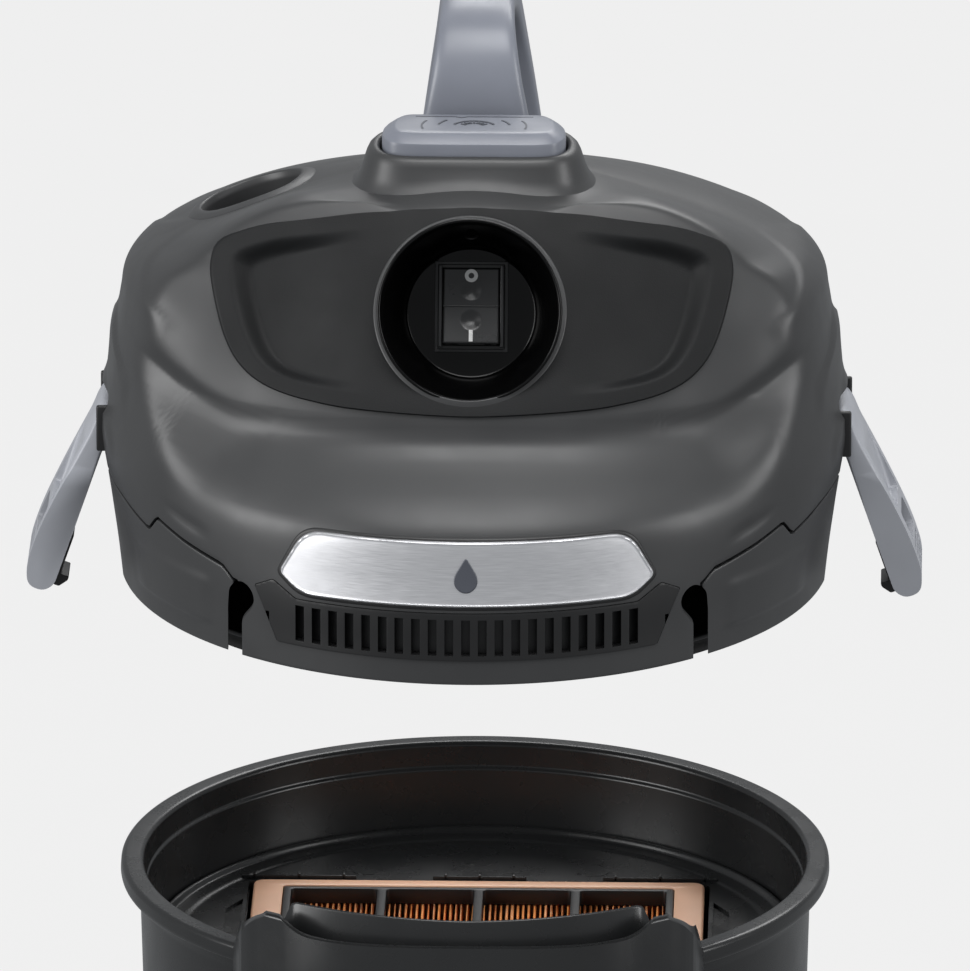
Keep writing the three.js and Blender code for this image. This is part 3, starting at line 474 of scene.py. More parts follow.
# The overlapping pads on each side: the height of each top, its drop, and how far its front edge reaches
# forward in degrees from the side.
PADS = [(168, 46, 26), (128, 40, 18), (97, 40, 14)]


def turn_from_front(angles):
    """How far each angle is from the front on either side, in degrees."""
    return np.degrees(np.abs(np.arctan2(np.sin(angles), np.cos(angles))))


def smoothstep(value, low, high):
    t = np.clip((value - low) / (high - low), 0, 1)
    return t * t * (3 - 2 * t)


def soft_minimum(first, second):
    blend = 5
    return 0.5 * (first + second - np.sqrt((first - second) ** 2 + blend ** 2))


def face_level(heights, rise):
    """The level of the front face at a height, where the smile has raised the ledge."""
    low, inner, top = 76, 101, 165
    raised, raised_inner = low + rise, inner + 0.9 * rise
    on_ledge = low + (inner - low) * (heights - raised) / (raised_inner - raised)
    above = inner + (top - inner) * (heights - raised_inner) / (top - raised_inner)
    level = np.where(heights < raised, heights - rise, on_ledge)
    level = np.where(heights < raised_inner, level, above)
    return np.where(heights < top, level, heights)


def face_radius(heights, angles):
    """The radius at which the front face trims the round body, found by halving."""
    fine = spline(FACE, 12)
    sine, cosine = np.sin(angles), np.cos(angles)
    level = face_level(heights, SMILE_RISE * smoothstep(turn_from_front(angles), 46, 78))
    distance = np.interp(level, fine[:, 0], fine[:, 1])
    bend = np.interp(level, fine[:, 0], fine[:, 2])
    inside, outside = np.zeros_like(heights), np.full_like(heights, 400.0)
    for _ in range(22):
        middle = (inside + outside) / 2
        beyond = middle * cosine + (middle * sine) ** 2 / (2 * bend) > distance
        outside = np.where(beyond, middle, outside)
        inside = np.where(beyond, inside, middle)
    return inside


def spline(points, steps):
    """A smooth row of values through a row of values."""
    points = np.array(points, float)
    padded = np.vstack([2 * points[0] - points[1], points, 2 * points[-1] - points[-2]])
    made = []
    for index in range(len(points) - 1):
        a, b, c, d = padded[index:index + 4]
        for step in range(steps):
            t = step / steps
            made.append(0.5 * (2 * b + (c - a) * t + (2 * a - 5 * b + 4 * c - d) * t * t
                               + (3 * b - a - 3 * c + d) * t ** 3))
    made.append(points[-1])
    return np.array(made)


def station_rows(angles):
    """Radius and height of the round body at every station, for angles measured from the front."""
    facing = np.cos(angles)
    turn = turn_from_front(angles)
    radii, heights = [], []
    for station, (side, side_height) in enumerate(SIDE):
        share = min(max((station - ROOF_STATION + 1) / 3, 0), 1)
        fall = np.where(facing < 0, -BACK_FALL * facing ** 2, FRONT_RISE * facing * (1 - facing * 0.4))
        if station == len(SIDE) - 1:
            share = 0
        distance, front_height = FRONT[station] if station < len(FRONT) else (side, side_height)
        oval = distance * side / np.maximum(np.hypot(distance * np.sin(angles), side * facing), 1e-6)
        radii.append(np.where(facing > 0, oval, side))
        lean = np.where(facing > 0, facing ** 2, 0)
        # The roof swells into a brow above the dark panel's upper corners.
        brow = BROW * math.exp(-((side - 108) / 30) ** 2)
        brow = brow * smoothstep(turn, 20, 42) * (1 - smoothstep(turn, 58, 88))
        heights.append(side_height + (front_height - side_height) * lean + share * (fall + brow))
    return np.array(radii), np.array(heights)


def head_profile(angles, spots):
    """Smooth radius and height for spots counted in stations, one row for each spot."""
    points = np.stack(station_rows(angles), -1)
    chords = np.maximum(np.linalg.norm(np.diff(points, axis=0), axis=-1), 1e-6)[..., None]
    slopes = np.diff(points, axis=0) / chords
    inner = (slopes[1:] * chords[:-1] + slopes[:-1] * chords[1:]) / (chords[1:] + chords[:-1])
    tangents = np.concatenate([slopes[:1], inner, slopes[-1:]])
    # The crown is level, so the roof has no point there.
    tangents[-1] = [-1, 0]
    spots = np.broadcast_to(spots if spots.ndim == 2 else spots[:, None], (len(spots), len(angles)))
    spots = np.clip(spots, 0, len(SIDE) - 1 - 1e-6)
    index = spots.astype(int)
    column = np.arange(len(angles))[None, :]
    t = (spots - index)[..., None]
    start, end, chord = points[index, column], points[index + 1, column], chords[index, column]
    leave, arrive = tangents[index, column], tangents[index + 1, column]
    square, cube = t * t, t * t * t
    made = (2 * cube - 3 * square + 1) * start + (cube - 2 * square + t) * chord * leave
    made += (3 * square - 2 * cube) * end + (cube - square) * chord * arrive
    radii, heights = made[..., 0], made[..., 1]
    return soft_minimum(radii, face_radius(heights, angles[None, :])), heights


def scalloped(radii, heights, angles):
    """The soft overlapping pads on both sides. Each stands proud just under its top and fades downwards."""
    turn = turn_from_front(angles)
    from_side = np.abs(turn - 90)
    grown = np.zeros_like(radii)
    for top, drop, reach in PADS:
        depth = (top - heights) / drop
        edge = reach * smoothstep(depth, 0, 0.7) + 2
        across = 1 - smoothstep(from_side, edge - 2.5, edge + 0.5)
        rise = smoothstep(depth, 0.0, 0.28)
        fade = 1 - smoothstep(depth, 0.4, 1.15)
        grown += 1.8 * across * rise * fade
    region = (1 - smoothstep(from_side, 24, 34)) * smoothstep(heights, 66, 84)
    seam = seam_heights(angles)
    groove = np.exp(-((heights - seam - 9) / 2.2) ** 2)
    groove *= smoothstep(turn, 43.5, 48) * (1 - smoothstep(turn, 51, 56))
    return radii + grown - 0.9 * region - 1.3 * groove


def ring_points(radii, heights, angles):
    return np.stack([radii * np.sin(angles), -radii * np.cos(angles), heights], -1)


COLUMNS = 360
ANGLES = np.radians(np.arange(COLUMNS) * 360 / COLUMNS + 0.25)
PANEL_MIDDLE = 151
# The seam between cover and skirts: (degrees from the front, height).
SEAM = [(38.5, 36), (41, 42), (50, 47), (57, 52), (60, 44), (70, 50), (82, 54), (180, 54)]
SKIRT_START = 38.5


def seam_heights(angles, lower=0.0):
    turn = turn_from_front(angles)
    return np.interp(turn, [s[0] for s in SEAM], [s[1] for s in SEAM]) - lower


def seam_spots(angles, heights):
    """The spot on each profile that has the seam's height."""
    spots = np.linspace(0, 5, 201)
    _, levels = head_profile(angles, spots)
    return np.array([np.interp(h, levels[:, i], spots) for i, h in enumerate(heights)])


def surface_rows(angles, low_spots, high_spots, rows):
    share = np.linspace(0, 1, rows)[:, None]
    spots = low_spots[None, :] + (high_spots - low_spots)[None, :] * share
    radii, heights = head_profile(angles, spots)
    return ring_points(scalloped(radii, heights, angles), heights, angles)


def solidified(obj, thickness, bevel):
    return applied(eased(walled(obj, thickness), bevel, 2, 55))


def whole_surface():
    """The closed outer surface as a search tree, for laying other pieces on it."""
    angles = np.radians(np.arange(720) / 2)
    low = np.zeros_like(angles)
    rows = surface_rows(angles, low, low + len(SIDE) - 1.02, 240)
    points = [Vector(p) for p in rows.reshape(-1, 3)]
    return BVHTree.FromPolygons(points, grid_faces(len(rows), len(angles)))


SURFACE = whole_surface()


def on_surface(start, way, offset=0.0):
    """Where a line in the head's space meets the surface, moved out along the normal."""
    hit, normal, _, _ = SURFACE.ray_cast(Vector(start), Vector(way))
    if hit is None:
        hit, normal, _, _ = SURFACE.find_nearest(Vector(start))
    if normal.dot(Vector(way)) > 0:
        normal = -normal
    return np.array(hit + normal * offset)


def from_front(x, z, offset=0.0):
    return on_surface((x, -300, z), (0, 1, 0), offset)


def roof_height(x, y):
    return on_surface((x, y, 320), (0, 0, -1))[2]


# ---------------------------------------------------------------- head: shell and skirts
def notch_cutter(side):
    """The hooked slot beside the front skirt."""
    outline = [
        (103, -8), (103, 17), (100.5, 21), (98, 24.5), (97.2, 28), (98, 32), (100.5, 35), (103.5, 36),
        (106.5, 34.5), (109, 31), (109.6, 22), (109.6, -8),
    ]
    outline = softened([(side * x, z) for x, z in outline], 2.2)
    return slab(f"notch_{side}", outline, 0, 130, front_on(HEAD, -85), bevel=0)


def latch_pocket_cutter(side):
    place = turned(HEAD, 0 if side > 0 else math.pi)
    return block(f"pocket_{side}", (158, -27.5, -8), (200, 27.5, 88), place, 2)


def well_cutter():
    return slab("button_well", button_outline(1.2), 150, 240, HEAD, bevel=0)


def grille_cutter():
    return slab("grille_opening", grille_outline(0.2), 0, 90, front_on(HEAD, -120), bevel=0)


def shield_cutter():
    """The opening that the panel covers, a little smaller than the panel."""
    outline = [(x * 0.955, PANEL_MIDDLE + (z - PANEL_MIDDLE) * 0.93) for x, z in shield_outline(144)]
    return slab("shield_opening", outline, 0, 120, front_on(HEAD, -40), bevel=0)


def side_cutters():
    """The hooked slots and the latches' pockets, which the cover and the skirts share."""
    return [notch_cutter(1), notch_cutter(-1), latch_pocket_cutter(1), latch_pocket_cutter(-1)]


def head_shell():
    """The motor head's cover: the whole upper surface, and below the seam only its front."""
    seam = seam_spots(ANGLES, seam_heights(ANGLES))
    crown = np.full_like(seam, len(SIDE) - 1.4)
    upper = surface_rows(ANGLES, seam, crown, 130)
    front = np.degrees(np.arctan2(np.sin(ANGLES), np.cos(ANGLES)))
    columns = np.argsort(front)[np.abs(np.sort(front)) < SKIRT_START]
    lower = surface_rows(ANGLES[columns], np.zeros(len(columns)), seam[columns], 24)
    shell = joined("shell", [
        grid("shell_upper", upper, HEAD, cap=(False, True)),
        grid("shell_front", lower, HEAD, around=False),
    ])
    tidy_mesh(shell)
    solidified(shell, 3, 0.4)
    cut(
        shell, *side_cutters(), well_cutter(), grille_cutter(), shield_cutter(),
        rod("dish_hole", SWITCH_RADIUS - 0.6, -60, 60, SWITCH),
        rod("socket_hole", SOCKET_BORE + 1.2, -60, 60, SOCKET),
    )
    settle(shell, "head", CHARCOAL, "head_shell", sharp=50)


def side_skirts():
    """The lower skirts round the sides and the back, with a soft raised field on each."""
    angles = np.radians(np.linspace(SKIRT_START + 0.3, 360 - SKIRT_START - 0.3, 340))
    low = np.zeros_like(angles)
    high = seam_spots(angles, seam_heights(angles, 1.8))
    share = np.linspace(0, 1, 40)[:, None]
    spots = low + (high - low) * share
    radii, heights = head_profile(angles, spots)
    turn = turn_from_front(angles)
    across = smoothstep(turn, 43, 46) * (1 - smoothstep(turn, 63, 68))
    field = across * smoothstep(heights, 9, 12) * (1 - smoothstep(heights, 30, 35))
    radii = radii + 0.9 * field
    skirts = grid("skirts", ring_points(radii, heights, angles), HEAD, around=False)
    solidified(skirts, 3, 0.5)
    cut(skirts, joined("skirt_cutters", side_cutters()))
    settle(skirts, "head", CHARCOAL, "side_skirts", sharp=50)


# ---------------------------------------------------------------- head: front pieces
SHIELD = [
    (0, 110), (60, 111.3), (84, 114), (98, 118), (107.5, 125.5), (113.5, 136), (118, 150.5), (120.5, 163),
    (117, 173), (96, 181), (50, 188), (0, 190.4),
]


def shield_outline(count):
    """The panel's outline, counted round from the right, as (x, z)."""
    half = SHIELD[1:-1]
    corners = [SHIELD[0]] + half + [SHIELD[-1]] + mirrored(half)
    fine = np.array(softened(corners, 9, steps=8))
    closed = np.vstack([fine, fine[:1]])
    bearing = np.unwrap(np.arctan2(closed[:, 1] - PANEL_MIDDLE, closed[:, 0]))
    wanted = np.linspace(0, 2 * math.pi, count, endpoint=False)
    wanted = (wanted - bearing[0]) % (2 * math.pi) + bearing[0]
    return np.stack([np.interp(wanted, bearing, closed[:, axis]) for axis in (0, 1)], -1)


def shield_panel():
    """The dark panel round the switch, recessed inside a C-shaped line on each side."""
    count = 288
    outer = shield_outline(count)
    angles = np.linspace(0, 2 * math.pi, count, endpoint=False)
    axis = HEAD.inverted() @ SWITCH
    way = -(axis.to_3x3() @ UP)
    inner = []
    for angle in angles:
        start = axis @ Vector((SWITCH_RADIUS * math.cos(angle), SWITCH_RADIUS * math.sin(angle), 60))
        inner.append(on_surface(start, way)[[0, 2]])
    inner = np.array(inner)
    squeezed = outer * [0.6, 1]
    rows = []
    shares = [0, 0.01, *np.linspace(0.03, 0.97, 56), 0.982, 0.992, 1]
    for share in shares:
        spots = inner + (outer - inner) * share
        gaps = np.linalg.norm((spots * [0.6, 1])[:, None] - squeezed[None], axis=-1).min(1)
        sunk = 6.5 * smoothstep(gaps, 6, 11.3) * smoothstep(np.abs(spots[:, 0]), 42, 90)
        edge = 2.0 * min(1, (1 - share) / 0.018) ** 0.5
        rows.append([from_front(x, z, edge - s * min(1, edge)) for (x, z), s in zip(spots, sunk)])
    rows.append([from_front(x, z, -1.4) for x, z in outer])
    panel = grid("shield", rows, HEAD)
    settle(applied(walled(panel, 0.8)), "head", PANEL, "shield_panel", sharp=60)


def fitted_ring(name, place, profile_at):
    """A ring round a place's axis whose profile changes with the angle, to follow the head's surface."""
    turns = np.linspace(0, 2 * math.pi, 180, endpoint=False)
    local = HEAD.inverted() @ place
    way = -(local.to_3x3() @ UP)
    columns = []
    for angle in turns:
        def height(radius):
            start = local @ Vector((radius * math.cos(angle), radius * math.sin(angle), 60))
            hit = on_surface(start, way)
            return (local.inverted() @ Vector(hit)).z
        profile = profile_at(height)
        columns.append([(r * math.cos(angle), r * math.sin(angle), z) for r, z in profile])
    return grid(name, np.array(columns).transpose(1, 0, 2), place, closed=True)


def switch_dish():
    """The glossy recess round the power switch, and the satin lip that frames it."""
    radius = SWITCH_RADIUS

    def lip(height):
        top = height(radius - 1) + 2.6
        return softened([
            (radius + 0.9, top - 3.4), (radius + 0.7, top - 0.2), (radius - 2.6, top + 0.2),
            (radius - 3, top - 3), (radius - 3, top - 9), (radius - 1.5, top - 9),
        ], 0.7)

    settle(fitted_ring("dish_lip", SWITCH, lip), "head", CHARCOAL, sharp=60)
    cup = lathe("dish_cup", [
        (0, -26.2), (29.5, -26.2), (31, -22.5), (radius - 3.2, -5), (radius - 2.9, 14), (radius - 1.2, 14),
        (radius - 1.2, -5), (32.5, -26), (30, -30), (0, -30),
    ], SWITCH, 1.4, 180)
    cut(cup, block("dish_window", (-15.7, -19.9, -40), (15.7, 19.9, 0), ROCKER, 0))
    settle(cup, "head", GLOSS, "switch_dish", sharp=50)
    wall = turned(moved(SWITCH, y=35.5, z=-14.2), math.radians(-57), "X")
    mark = lathe("dish_mark", [(2.1, -0.6), (3.1, -0.6), (3.1, 0.25), (2.1, 0.25)], wall, 0.1, 48)
    settle(mark, "head", BLACK)


def rocker_bezel():
    """The square frame round the rocker, with a raised rail along each side."""
    surround = block("bezel", (-15.4, -19.6, -34), (15.4, 19.6, -25), ROCKER, 0.5)
    flange = block("bezel_flange", (-16.8, -20.8, -26.1), (16.8, 20.8, -25.4), ROCKER, 0.2)
    added(surround, flange)
    for sign in (-1, 1):
        rail = [(sign * 13.35, -18.6, -26), (sign * 14.95, 18.8, -18.6)]
        low = [min(a, b) for a, b in zip(*rail)]
        high = [max(a, b) for a, b in zip(*rail)]
        added(surround, block("bezel_rail", low, high, ROCKER, 0.35))
    reach = ROCKER_END + 0.5
    cut(surround, block("bezel_hole", (-13.2, -reach, -60), (13.2, reach, 0), ROCKER, 0.3))
    settle(surround, "head", SATIN, "rocker_bezel")


def rocker_level(x, y):
    """The height of the rocker's top: two slopes that meet in a ridge, each with a finger dimple."""
    level = 1.1 + 1.3 * (abs(y) / ROCKER_END) ** 1.3
    for centre in (7.4, -6.4):
        reach = math.hypot(x, y - centre) / 5
        if reach < 1:
            level -= 1.1 * (1 - reach ** 2) ** 1.5
    edge = min(ROCKER_END - abs(y), ROCKER_HALF - abs(x))
    return level - max(0, 0.7 - edge) ** 2 * 1.2


def power_rocker():
    """The rocker, with its two finger dimples and the two printed marks."""
    tilt = turned(moved(ROCKER, z=-21), math.radians(-7), "X")
    edge_steps = [0.0, 0.2, 0.5]

    def steps(half, count):
        near = [-half + step for step in edge_steps]
        return [*near, *np.linspace(-half + 0.9, half - 0.9, count), *[-v for v in reversed(near)]]

    rows = [[(x, y, rocker_level(x, y)) for x in steps(ROCKER_HALF, 72)] for y in steps(ROCKER_END, 96)]
    skin = grid("rocker", rows, tilt, around=False)
    settle(applied(walled(skin, 8)), "rocker", SATIN, "power_rocker", sharp=50)
    line = block("rocker_ridge", (-ROCKER_HALF + 0.1, -0.35, 0.3), (ROCKER_HALF - 0.1, 0.35, 1.5), tilt, 0.15)
    settle(line, "rocker", SATIN)
    slope = math.radians(5.3)
    ring_place = turned(moved(tilt, y=14.0, z=2.0), slope, "X")
    ring = [(1.3, -0.3), (3.0, -0.3), (3.0, 0.14), (1.3, 0.14)]
    mark = lathe("rocker_mark_off", ring, ring_place, 0.05, 48)
    settle(mark, "rocker", WHITE_INK)
    bar_place = turned(moved(tilt, y=-13.8, z=2.0), -slope, "X")
    bar = block("rocker_mark_on", (-0.9, -2.7, -0.3), (0.9, 2.7, 0.14), bar_place, 0.05)
    settle(bar, "rocker", WHITE_INK)


def ball(name, radius, place):
    angles = np.linspace(-math.pi / 2, math.pi / 2, 33)
    profile = [(radius * math.cos(a), radius * math.sin(a)) for a in angles]
    profile = [(0, -radius)] + profile[1:-1] + [(0, radius)]
    return lathe(name, profile, place, 0, 64)


def grille_outline(grow):
    """The lattice's outline: an arm at each end reaches up and out, beside the name plate."""
    right = [
        (86.5 + grow, 11.3 - grow), (93 + grow, 27), (97 + grow, 36 + grow / 2), (88.5, 40.5 + grow),
        (78, 33.4 + grow),
    ]
    return softened(right + mirrored(right), 1.2)


def exhaust_grille():
    """A curved black lattice with 21 upright slots and a slit in each arm, and a sheet behind it."""
    pitch, width, slots = 7.6, 4.0, 21
    columns = 240
    rows = []
    for z in np.linspace(10.6, 41.5, 24):
        rows.append([from_front(x, z, 0.7) for x in np.linspace(-98.5, 98.5, columns)])
    lattice = grid("grille", rows, HEAD, around=False)
    applied(walled(lattice, 4.2))
    shape = slab("grille_shape", grille_outline(0), -10, 90, front_on(HEAD, -120), 0)
    combined(lattice, shape, "INTERSECT")
    cutters = []
    for slot in range(slots):
        x = (slot - (slots - 1) / 2) * pitch
        low, high = (x - width / 2, -220, 13.6), (x + width / 2, -130, 30.6)
        cutters.append(block(f"slot_{slot}", low, high, HEAD, 0))
    for sign in (-1, 1):
        low, high = (sign * 91 - 0.8, -220, 17), (sign * 91 + 0.8, -100, 25)
        cutters.append(block(f"arm_slit_{sign}", low, high, HEAD, 0))
    cut(lattice, joined("slots", cutters))
    settle(rounded(lattice, 0.35, 2, 50), "head", BLACK, "exhaust_grille")
    backing = []
    for z in (11, 18, 25, 32, 40, 46):
        backing.append([from_front(x, z, -4.0) for x in np.linspace(-97, 97, 80)])
    settle(grid("grille_backing", backing, HEAD, around=False), "head", BLACK)


PLATE = [(-85.5, 45), (-75, 36.2), (75, 36.2), (85.5, 45), (74, 66), (-74, 66)]
DROP = [(0, 59.5), (2.4, 55.4), (5.2, 50.8), (5.4, 46.4), (2.8, 43.4), (0, 42.6)]


def laid_on_front(name, outline, edge, columns, rows):
    """A thin plate that follows the head's front. edge gives its height above the surface as
    (distance in from the outline, height) pairs."""
    closed = np.array(outline + outline[:1])
    starts, ways = closed[:-1], np.diff(closed, axis=0)
    lengths = np.maximum((ways ** 2).sum(1), 1e-9)

    def inwards(point):
        along = np.clip(((point - starts) * ways).sum(1) / lengths, 0, 1)
        return np.linalg.norm(point - starts - along[:, None] * ways, axis=1).min()

    right = max(x for x, _ in outline)
    turn = int(np.argmax(closed[:-1, 0]))
    turned_round = np.roll(closed[:-1], -turn, 0)
    far = int(np.argmin(turned_round[:, 0]))
    upper, lower = turned_round[:far + 1][::-1], np.vstack([turned_round[far:], turned_round[:1]])
    if upper[len(upper) // 2, 1] < lower[len(lower) // 2, 1]:
        upper, lower = lower, upper
    if upper[0, 0] > upper[-1, 0]:
        upper = upper[::-1]
    if lower[0, 0] > lower[-1, 0]:
        lower = lower[::-1]
    made = []
    for x in right * np.sin(np.linspace(-math.pi / 2, math.pi / 2, columns)):
        top, bottom = np.interp(x, upper[:, 0], upper[:, 1]), np.interp(x, lower[:, 0], lower[:, 1])
        shares = (1 - np.cos(np.linspace(0, math.pi, rows))) / 2
        column = [np.array((x, bottom + (top - bottom) * share)) for share in shares]
        made.append([
            from_front(*p, np.interp(inwards(p), [e[0] for e in edge], [e[1] for e in edge])) for p in column
        ])
    plate = grid(name, np.array(made), HEAD, around=False)
    return applied(walled(plate, 1.2))


def name_plate():
    """A plain brushed plate with a bevelled edge, and a water drop as its only mark."""
    corners = [3, 6, 6, 3, 9, 9]
    outline = resampled(softened(PLATE, corners), 360)
    edge = [(0, 0.5), (0.5, 1.4), (1.0, 1.8), (1.5, 1.5), (30, 1.7)]
    plate = laid_on_front("plate", outline, edge, 150, 44)
    settle(plate, "head", SILVER, "name_plate", sharp=30)
    grown = [(x * 1.018, 51 + (z - 51) * 1.09) for x, z in PLATE]
    grown = resampled(softened(grown, corners), 360)
    seat = laid_on_front("plate_seat", grown, [(0, 0.15), (0.6, 0.6), (30, 0.6)], 110, 30)
    settle(seat, "head", BLACK)
    outline = resampled(softened(DROP + mirrored(DROP[1:-1]), 2), 90)
    drop = laid_on_front("plate_mark", outline, [(0, 1.7), (0.4, 2.0), (30, 2.0)], 40, 30)
    settle(drop, "head", DARK_INK)


# ---------------------------------------------------------------- head: button, collar, socket
def resampled(points, count):
    """Points spread evenly along a closed outline."""
    closed = np.array(points + points[:1])
    lengths = np.concatenate([[0], np.cumsum(np.linalg.norm(np.diff(closed, axis=0), axis=1))])
    wanted = np.linspace(0, lengths[-1], count, endpoint=False)
    return [tuple(np.interp(w, lengths, closed[:, axis]) for axis in (0, 1)) for w in wanted]


def button_outline(grow):
    """The button's outline: straight in front with large corners, and a shorter back."""
    half, front, back = 42.2, -36, 3
    corners = [
        (half - 6, front), (half, front + 10), (half, back - 12), (half - 8, back),
        (-half + 8, back), (-half, back - 12), (-half, front + 10), (-half + 6, front),
    ]
    fine = np.array(softened(corners, [14, 7, 9, 7, 7, 9, 7, 14], steps=8))
    fine = np.array(resampled([tuple(p) for p in fine], 160))
    along = np.roll(fine, -1, 0) - np.roll(fine, 1, 0)
    along /= np.linalg.norm(along, axis=1)[:, None]
    outward = np.stack([along[:, 1], -along[:, 0]], -1)
    if np.dot(outward[0], fine[0] - [0, -16]) < 0:
        outward = -outward
    return [tuple(p) for p in fine + outward * grow]


def cleaning_button():
    """The button, slightly dished on top, with a simple picture of arcs and rays."""
    rows = []
    profile = [
        (0, 196), (0, 211.6), (-0.4, 213), (-1.6, 214.2), (-4.4, 216.2), (-5.4, 216.75), (-6.6, BUTTON_TOP),
    ]
    for grow, height in profile:
        rows.append([(x, y, height) for x, y in button_outline(grow)])
    for share in (0.3, 0.6, 0.9):
        dip = 0.5 * share
        rows.append([(x * (1 - share), BUTTON_MIDDLE + (y - BUTTON_MIDDLE) * (1 - share), BUTTON_TOP - dip)
                     for x, y in button_outline(-6.6)])
    button = grid("button", rows, HEAD, cap=(True, True))
    settle(button, "button", GREY, "cleaning_button", sharp=28)
    icon = [arc(9.5, 20, 160), arc(16.5, 10, 40), arc(16.5, 140, 170), arc(24, -14, 24), arc(24, 156, 194)]
    for angle in range(30, 151, 20):
        way = np.array([math.cos(math.radians(angle)), math.sin(math.radians(angle))])
        icon.append([way * 4.2, way * 6.8])
    icon.append([(-27, 13.4), (-9, 13.4), (-6, 12), (-3, 13.4), (27, 13.4)])
    for index, line in enumerate(icon):
        engraved(f"button_icon_{index}", [(x, y - 19.5) for x, y in line])


def arc(radius, start, end):
    angles = np.radians(np.linspace(start, end, 24))
    return [(radius * math.cos(a), radius * math.sin(a) * 0.8) for a in angles]


def engraved(name, line):
    """A thin dark line laid in the button's top."""
    line = np.array(line)
    along = np.gradient(line, axis=0)
    along /= np.linalg.norm(along, axis=1)[:, None]
    across = np.stack([-along[:, 1], along[:, 0]], -1) * 0.45
    level = BUTTON_TOP + 0.02
    rows = [[(*p, level - 0.6) for p in line - across], [(*p, level) for p in line - across],
            [(*p, level) for p in line + across], [(*p, level - 0.6) for p in line + across]]
    settle(grid(name, np.array(rows), HEAD, around=False), "button", DARK_INK)


def button_collar():
    """The raised frame round the button. It flows down into the roof."""
    shape = [(1.0, 188), (1.0, 206.5), (1.5, 207.7), (2.6, 208.2), (4.4, 207.9), (6.0, 206.4), (7.2, 203.9)]
    rows = [[(x, y, z) for x, y in button_outline(grow)] for grow, z in shape]
    last = button_outline(7.2)
    for share, drop in ((0.3, 0.5), (0.6, 0.8), (1.0, 1.0)):
        foot = button_outline(7.2 + 7 * share)
        rows.append([
            (x, y, 203.9 + (roof_height(x, y) - 0.5 - 203.9) * drop) for x, y in foot
        ])
    rows.append([(x, y, roof_height(x, y) - 3) for x, y in button_outline(13)])
    rows.append([(x, y, roof_height(x, y) - 3) for x, y in last])
    settle(grid("collar", rows, HEAD, closed=True), "head", CHARCOAL, "button_collar", sharp=60)


def accessory_socket():
    """A deep round pocket for an accessory's foot, with a soft lip that follows the shoulder."""
    bore = SOCKET_BORE

    def profile(height):
        top = height(bore + 4)
        return softened([
            (bore + 8.5, height(bore + 8.5) - 1.6), (bore + 7.5, height(bore + 7.5) + 0.3),
            (bore + 4, top + 1.5),
            (bore + 1.2, top + 1.9), (bore - 0.1, top - 1.2), (bore - 0.2, -10), (bore - 0.6, -37.6),
            (3, -38), (3, -39.6), (bore + 1.4, -39.6), (bore + 1.6, -10), (bore + 2.4, top - 5),
        ], 1.0)

    settle(fitted_ring("socket", SOCKET, profile), "head", CHARCOAL, "accessory_socket", sharp=60)
    settle(rod("socket_floor", 6, -38, -39.4, SOCKET, 0.2), "head", BLACK)


# ---------------------------------------------------------------- head: handle
HANDLE = [
    (18, 180, 27, 7), (18.5, 204, 25, 7), (22, 226, 21, 7.5), (34, 243, 18, 7.5), (56, 249, 17, 7.5),
    (82, 247, 17, 7.5), (105, 238, 18.5, 7.5), (121, 218, 21, 7.5), (130, 190, 25, 7.5), (135, 160, 29, 7.5),
    (138, 134, 31, 7.5),
]


def bar_rows(line, inset, depth_scale, offset):
    """Rounded sections of a bar along a middle line of (y, z, half width, half depth)."""
    count, power = 48, 0.42
    middles = line[:, :2]
    along = np.gradient(middles, axis=0)
    along /= np.linalg.norm(along, axis=1)[:, None]
    rows = []
    for (y, z, wide, deep), (ay, az) in zip(line, along):
        section = []
        for angle in np.linspace(0, 2 * math.pi, count, endpoint=False):
            cosine, sine = math.cos(angle), math.sin(angle)
            x = (wide - inset) * math.copysign(abs(cosine) ** power, cosine)
            d = deep * depth_scale * math.copysign(abs(sine) ** power, sine) + offset
            section.append((x, y - az * d, z + ay * d))
        rows.append(section)
    return rows


def handle():
    line = spline(HANDLE, 8)
    bar = grid("handle", bar_rows(line, 0, 1, 0), HEAD, cap=(True, True))
    settle(bar, "head", GREY, "carrying_handle", sharp=60)
    grip_line = spline(HANDLE[3:7], 12)
    grip = grid("grip", bar_rows(grip_line, 2.6, 0.32, -9.6), HEAD, cap=(True, True))
    settle(grip, "head", RUBBER, "handle_grip", sharp=60)
    for index, (y, z, wide, _) in enumerate(grip_line[6:-6:3]):
        low, high = (-wide + 6, y - 0.9, z - 12.9), (wide - 6, y + 0.9, z - 11.4)
        rib = block(f"grip_rib_{index}", low, high, HEAD, 0.5)
        settle(rib, "head", RUBBER)


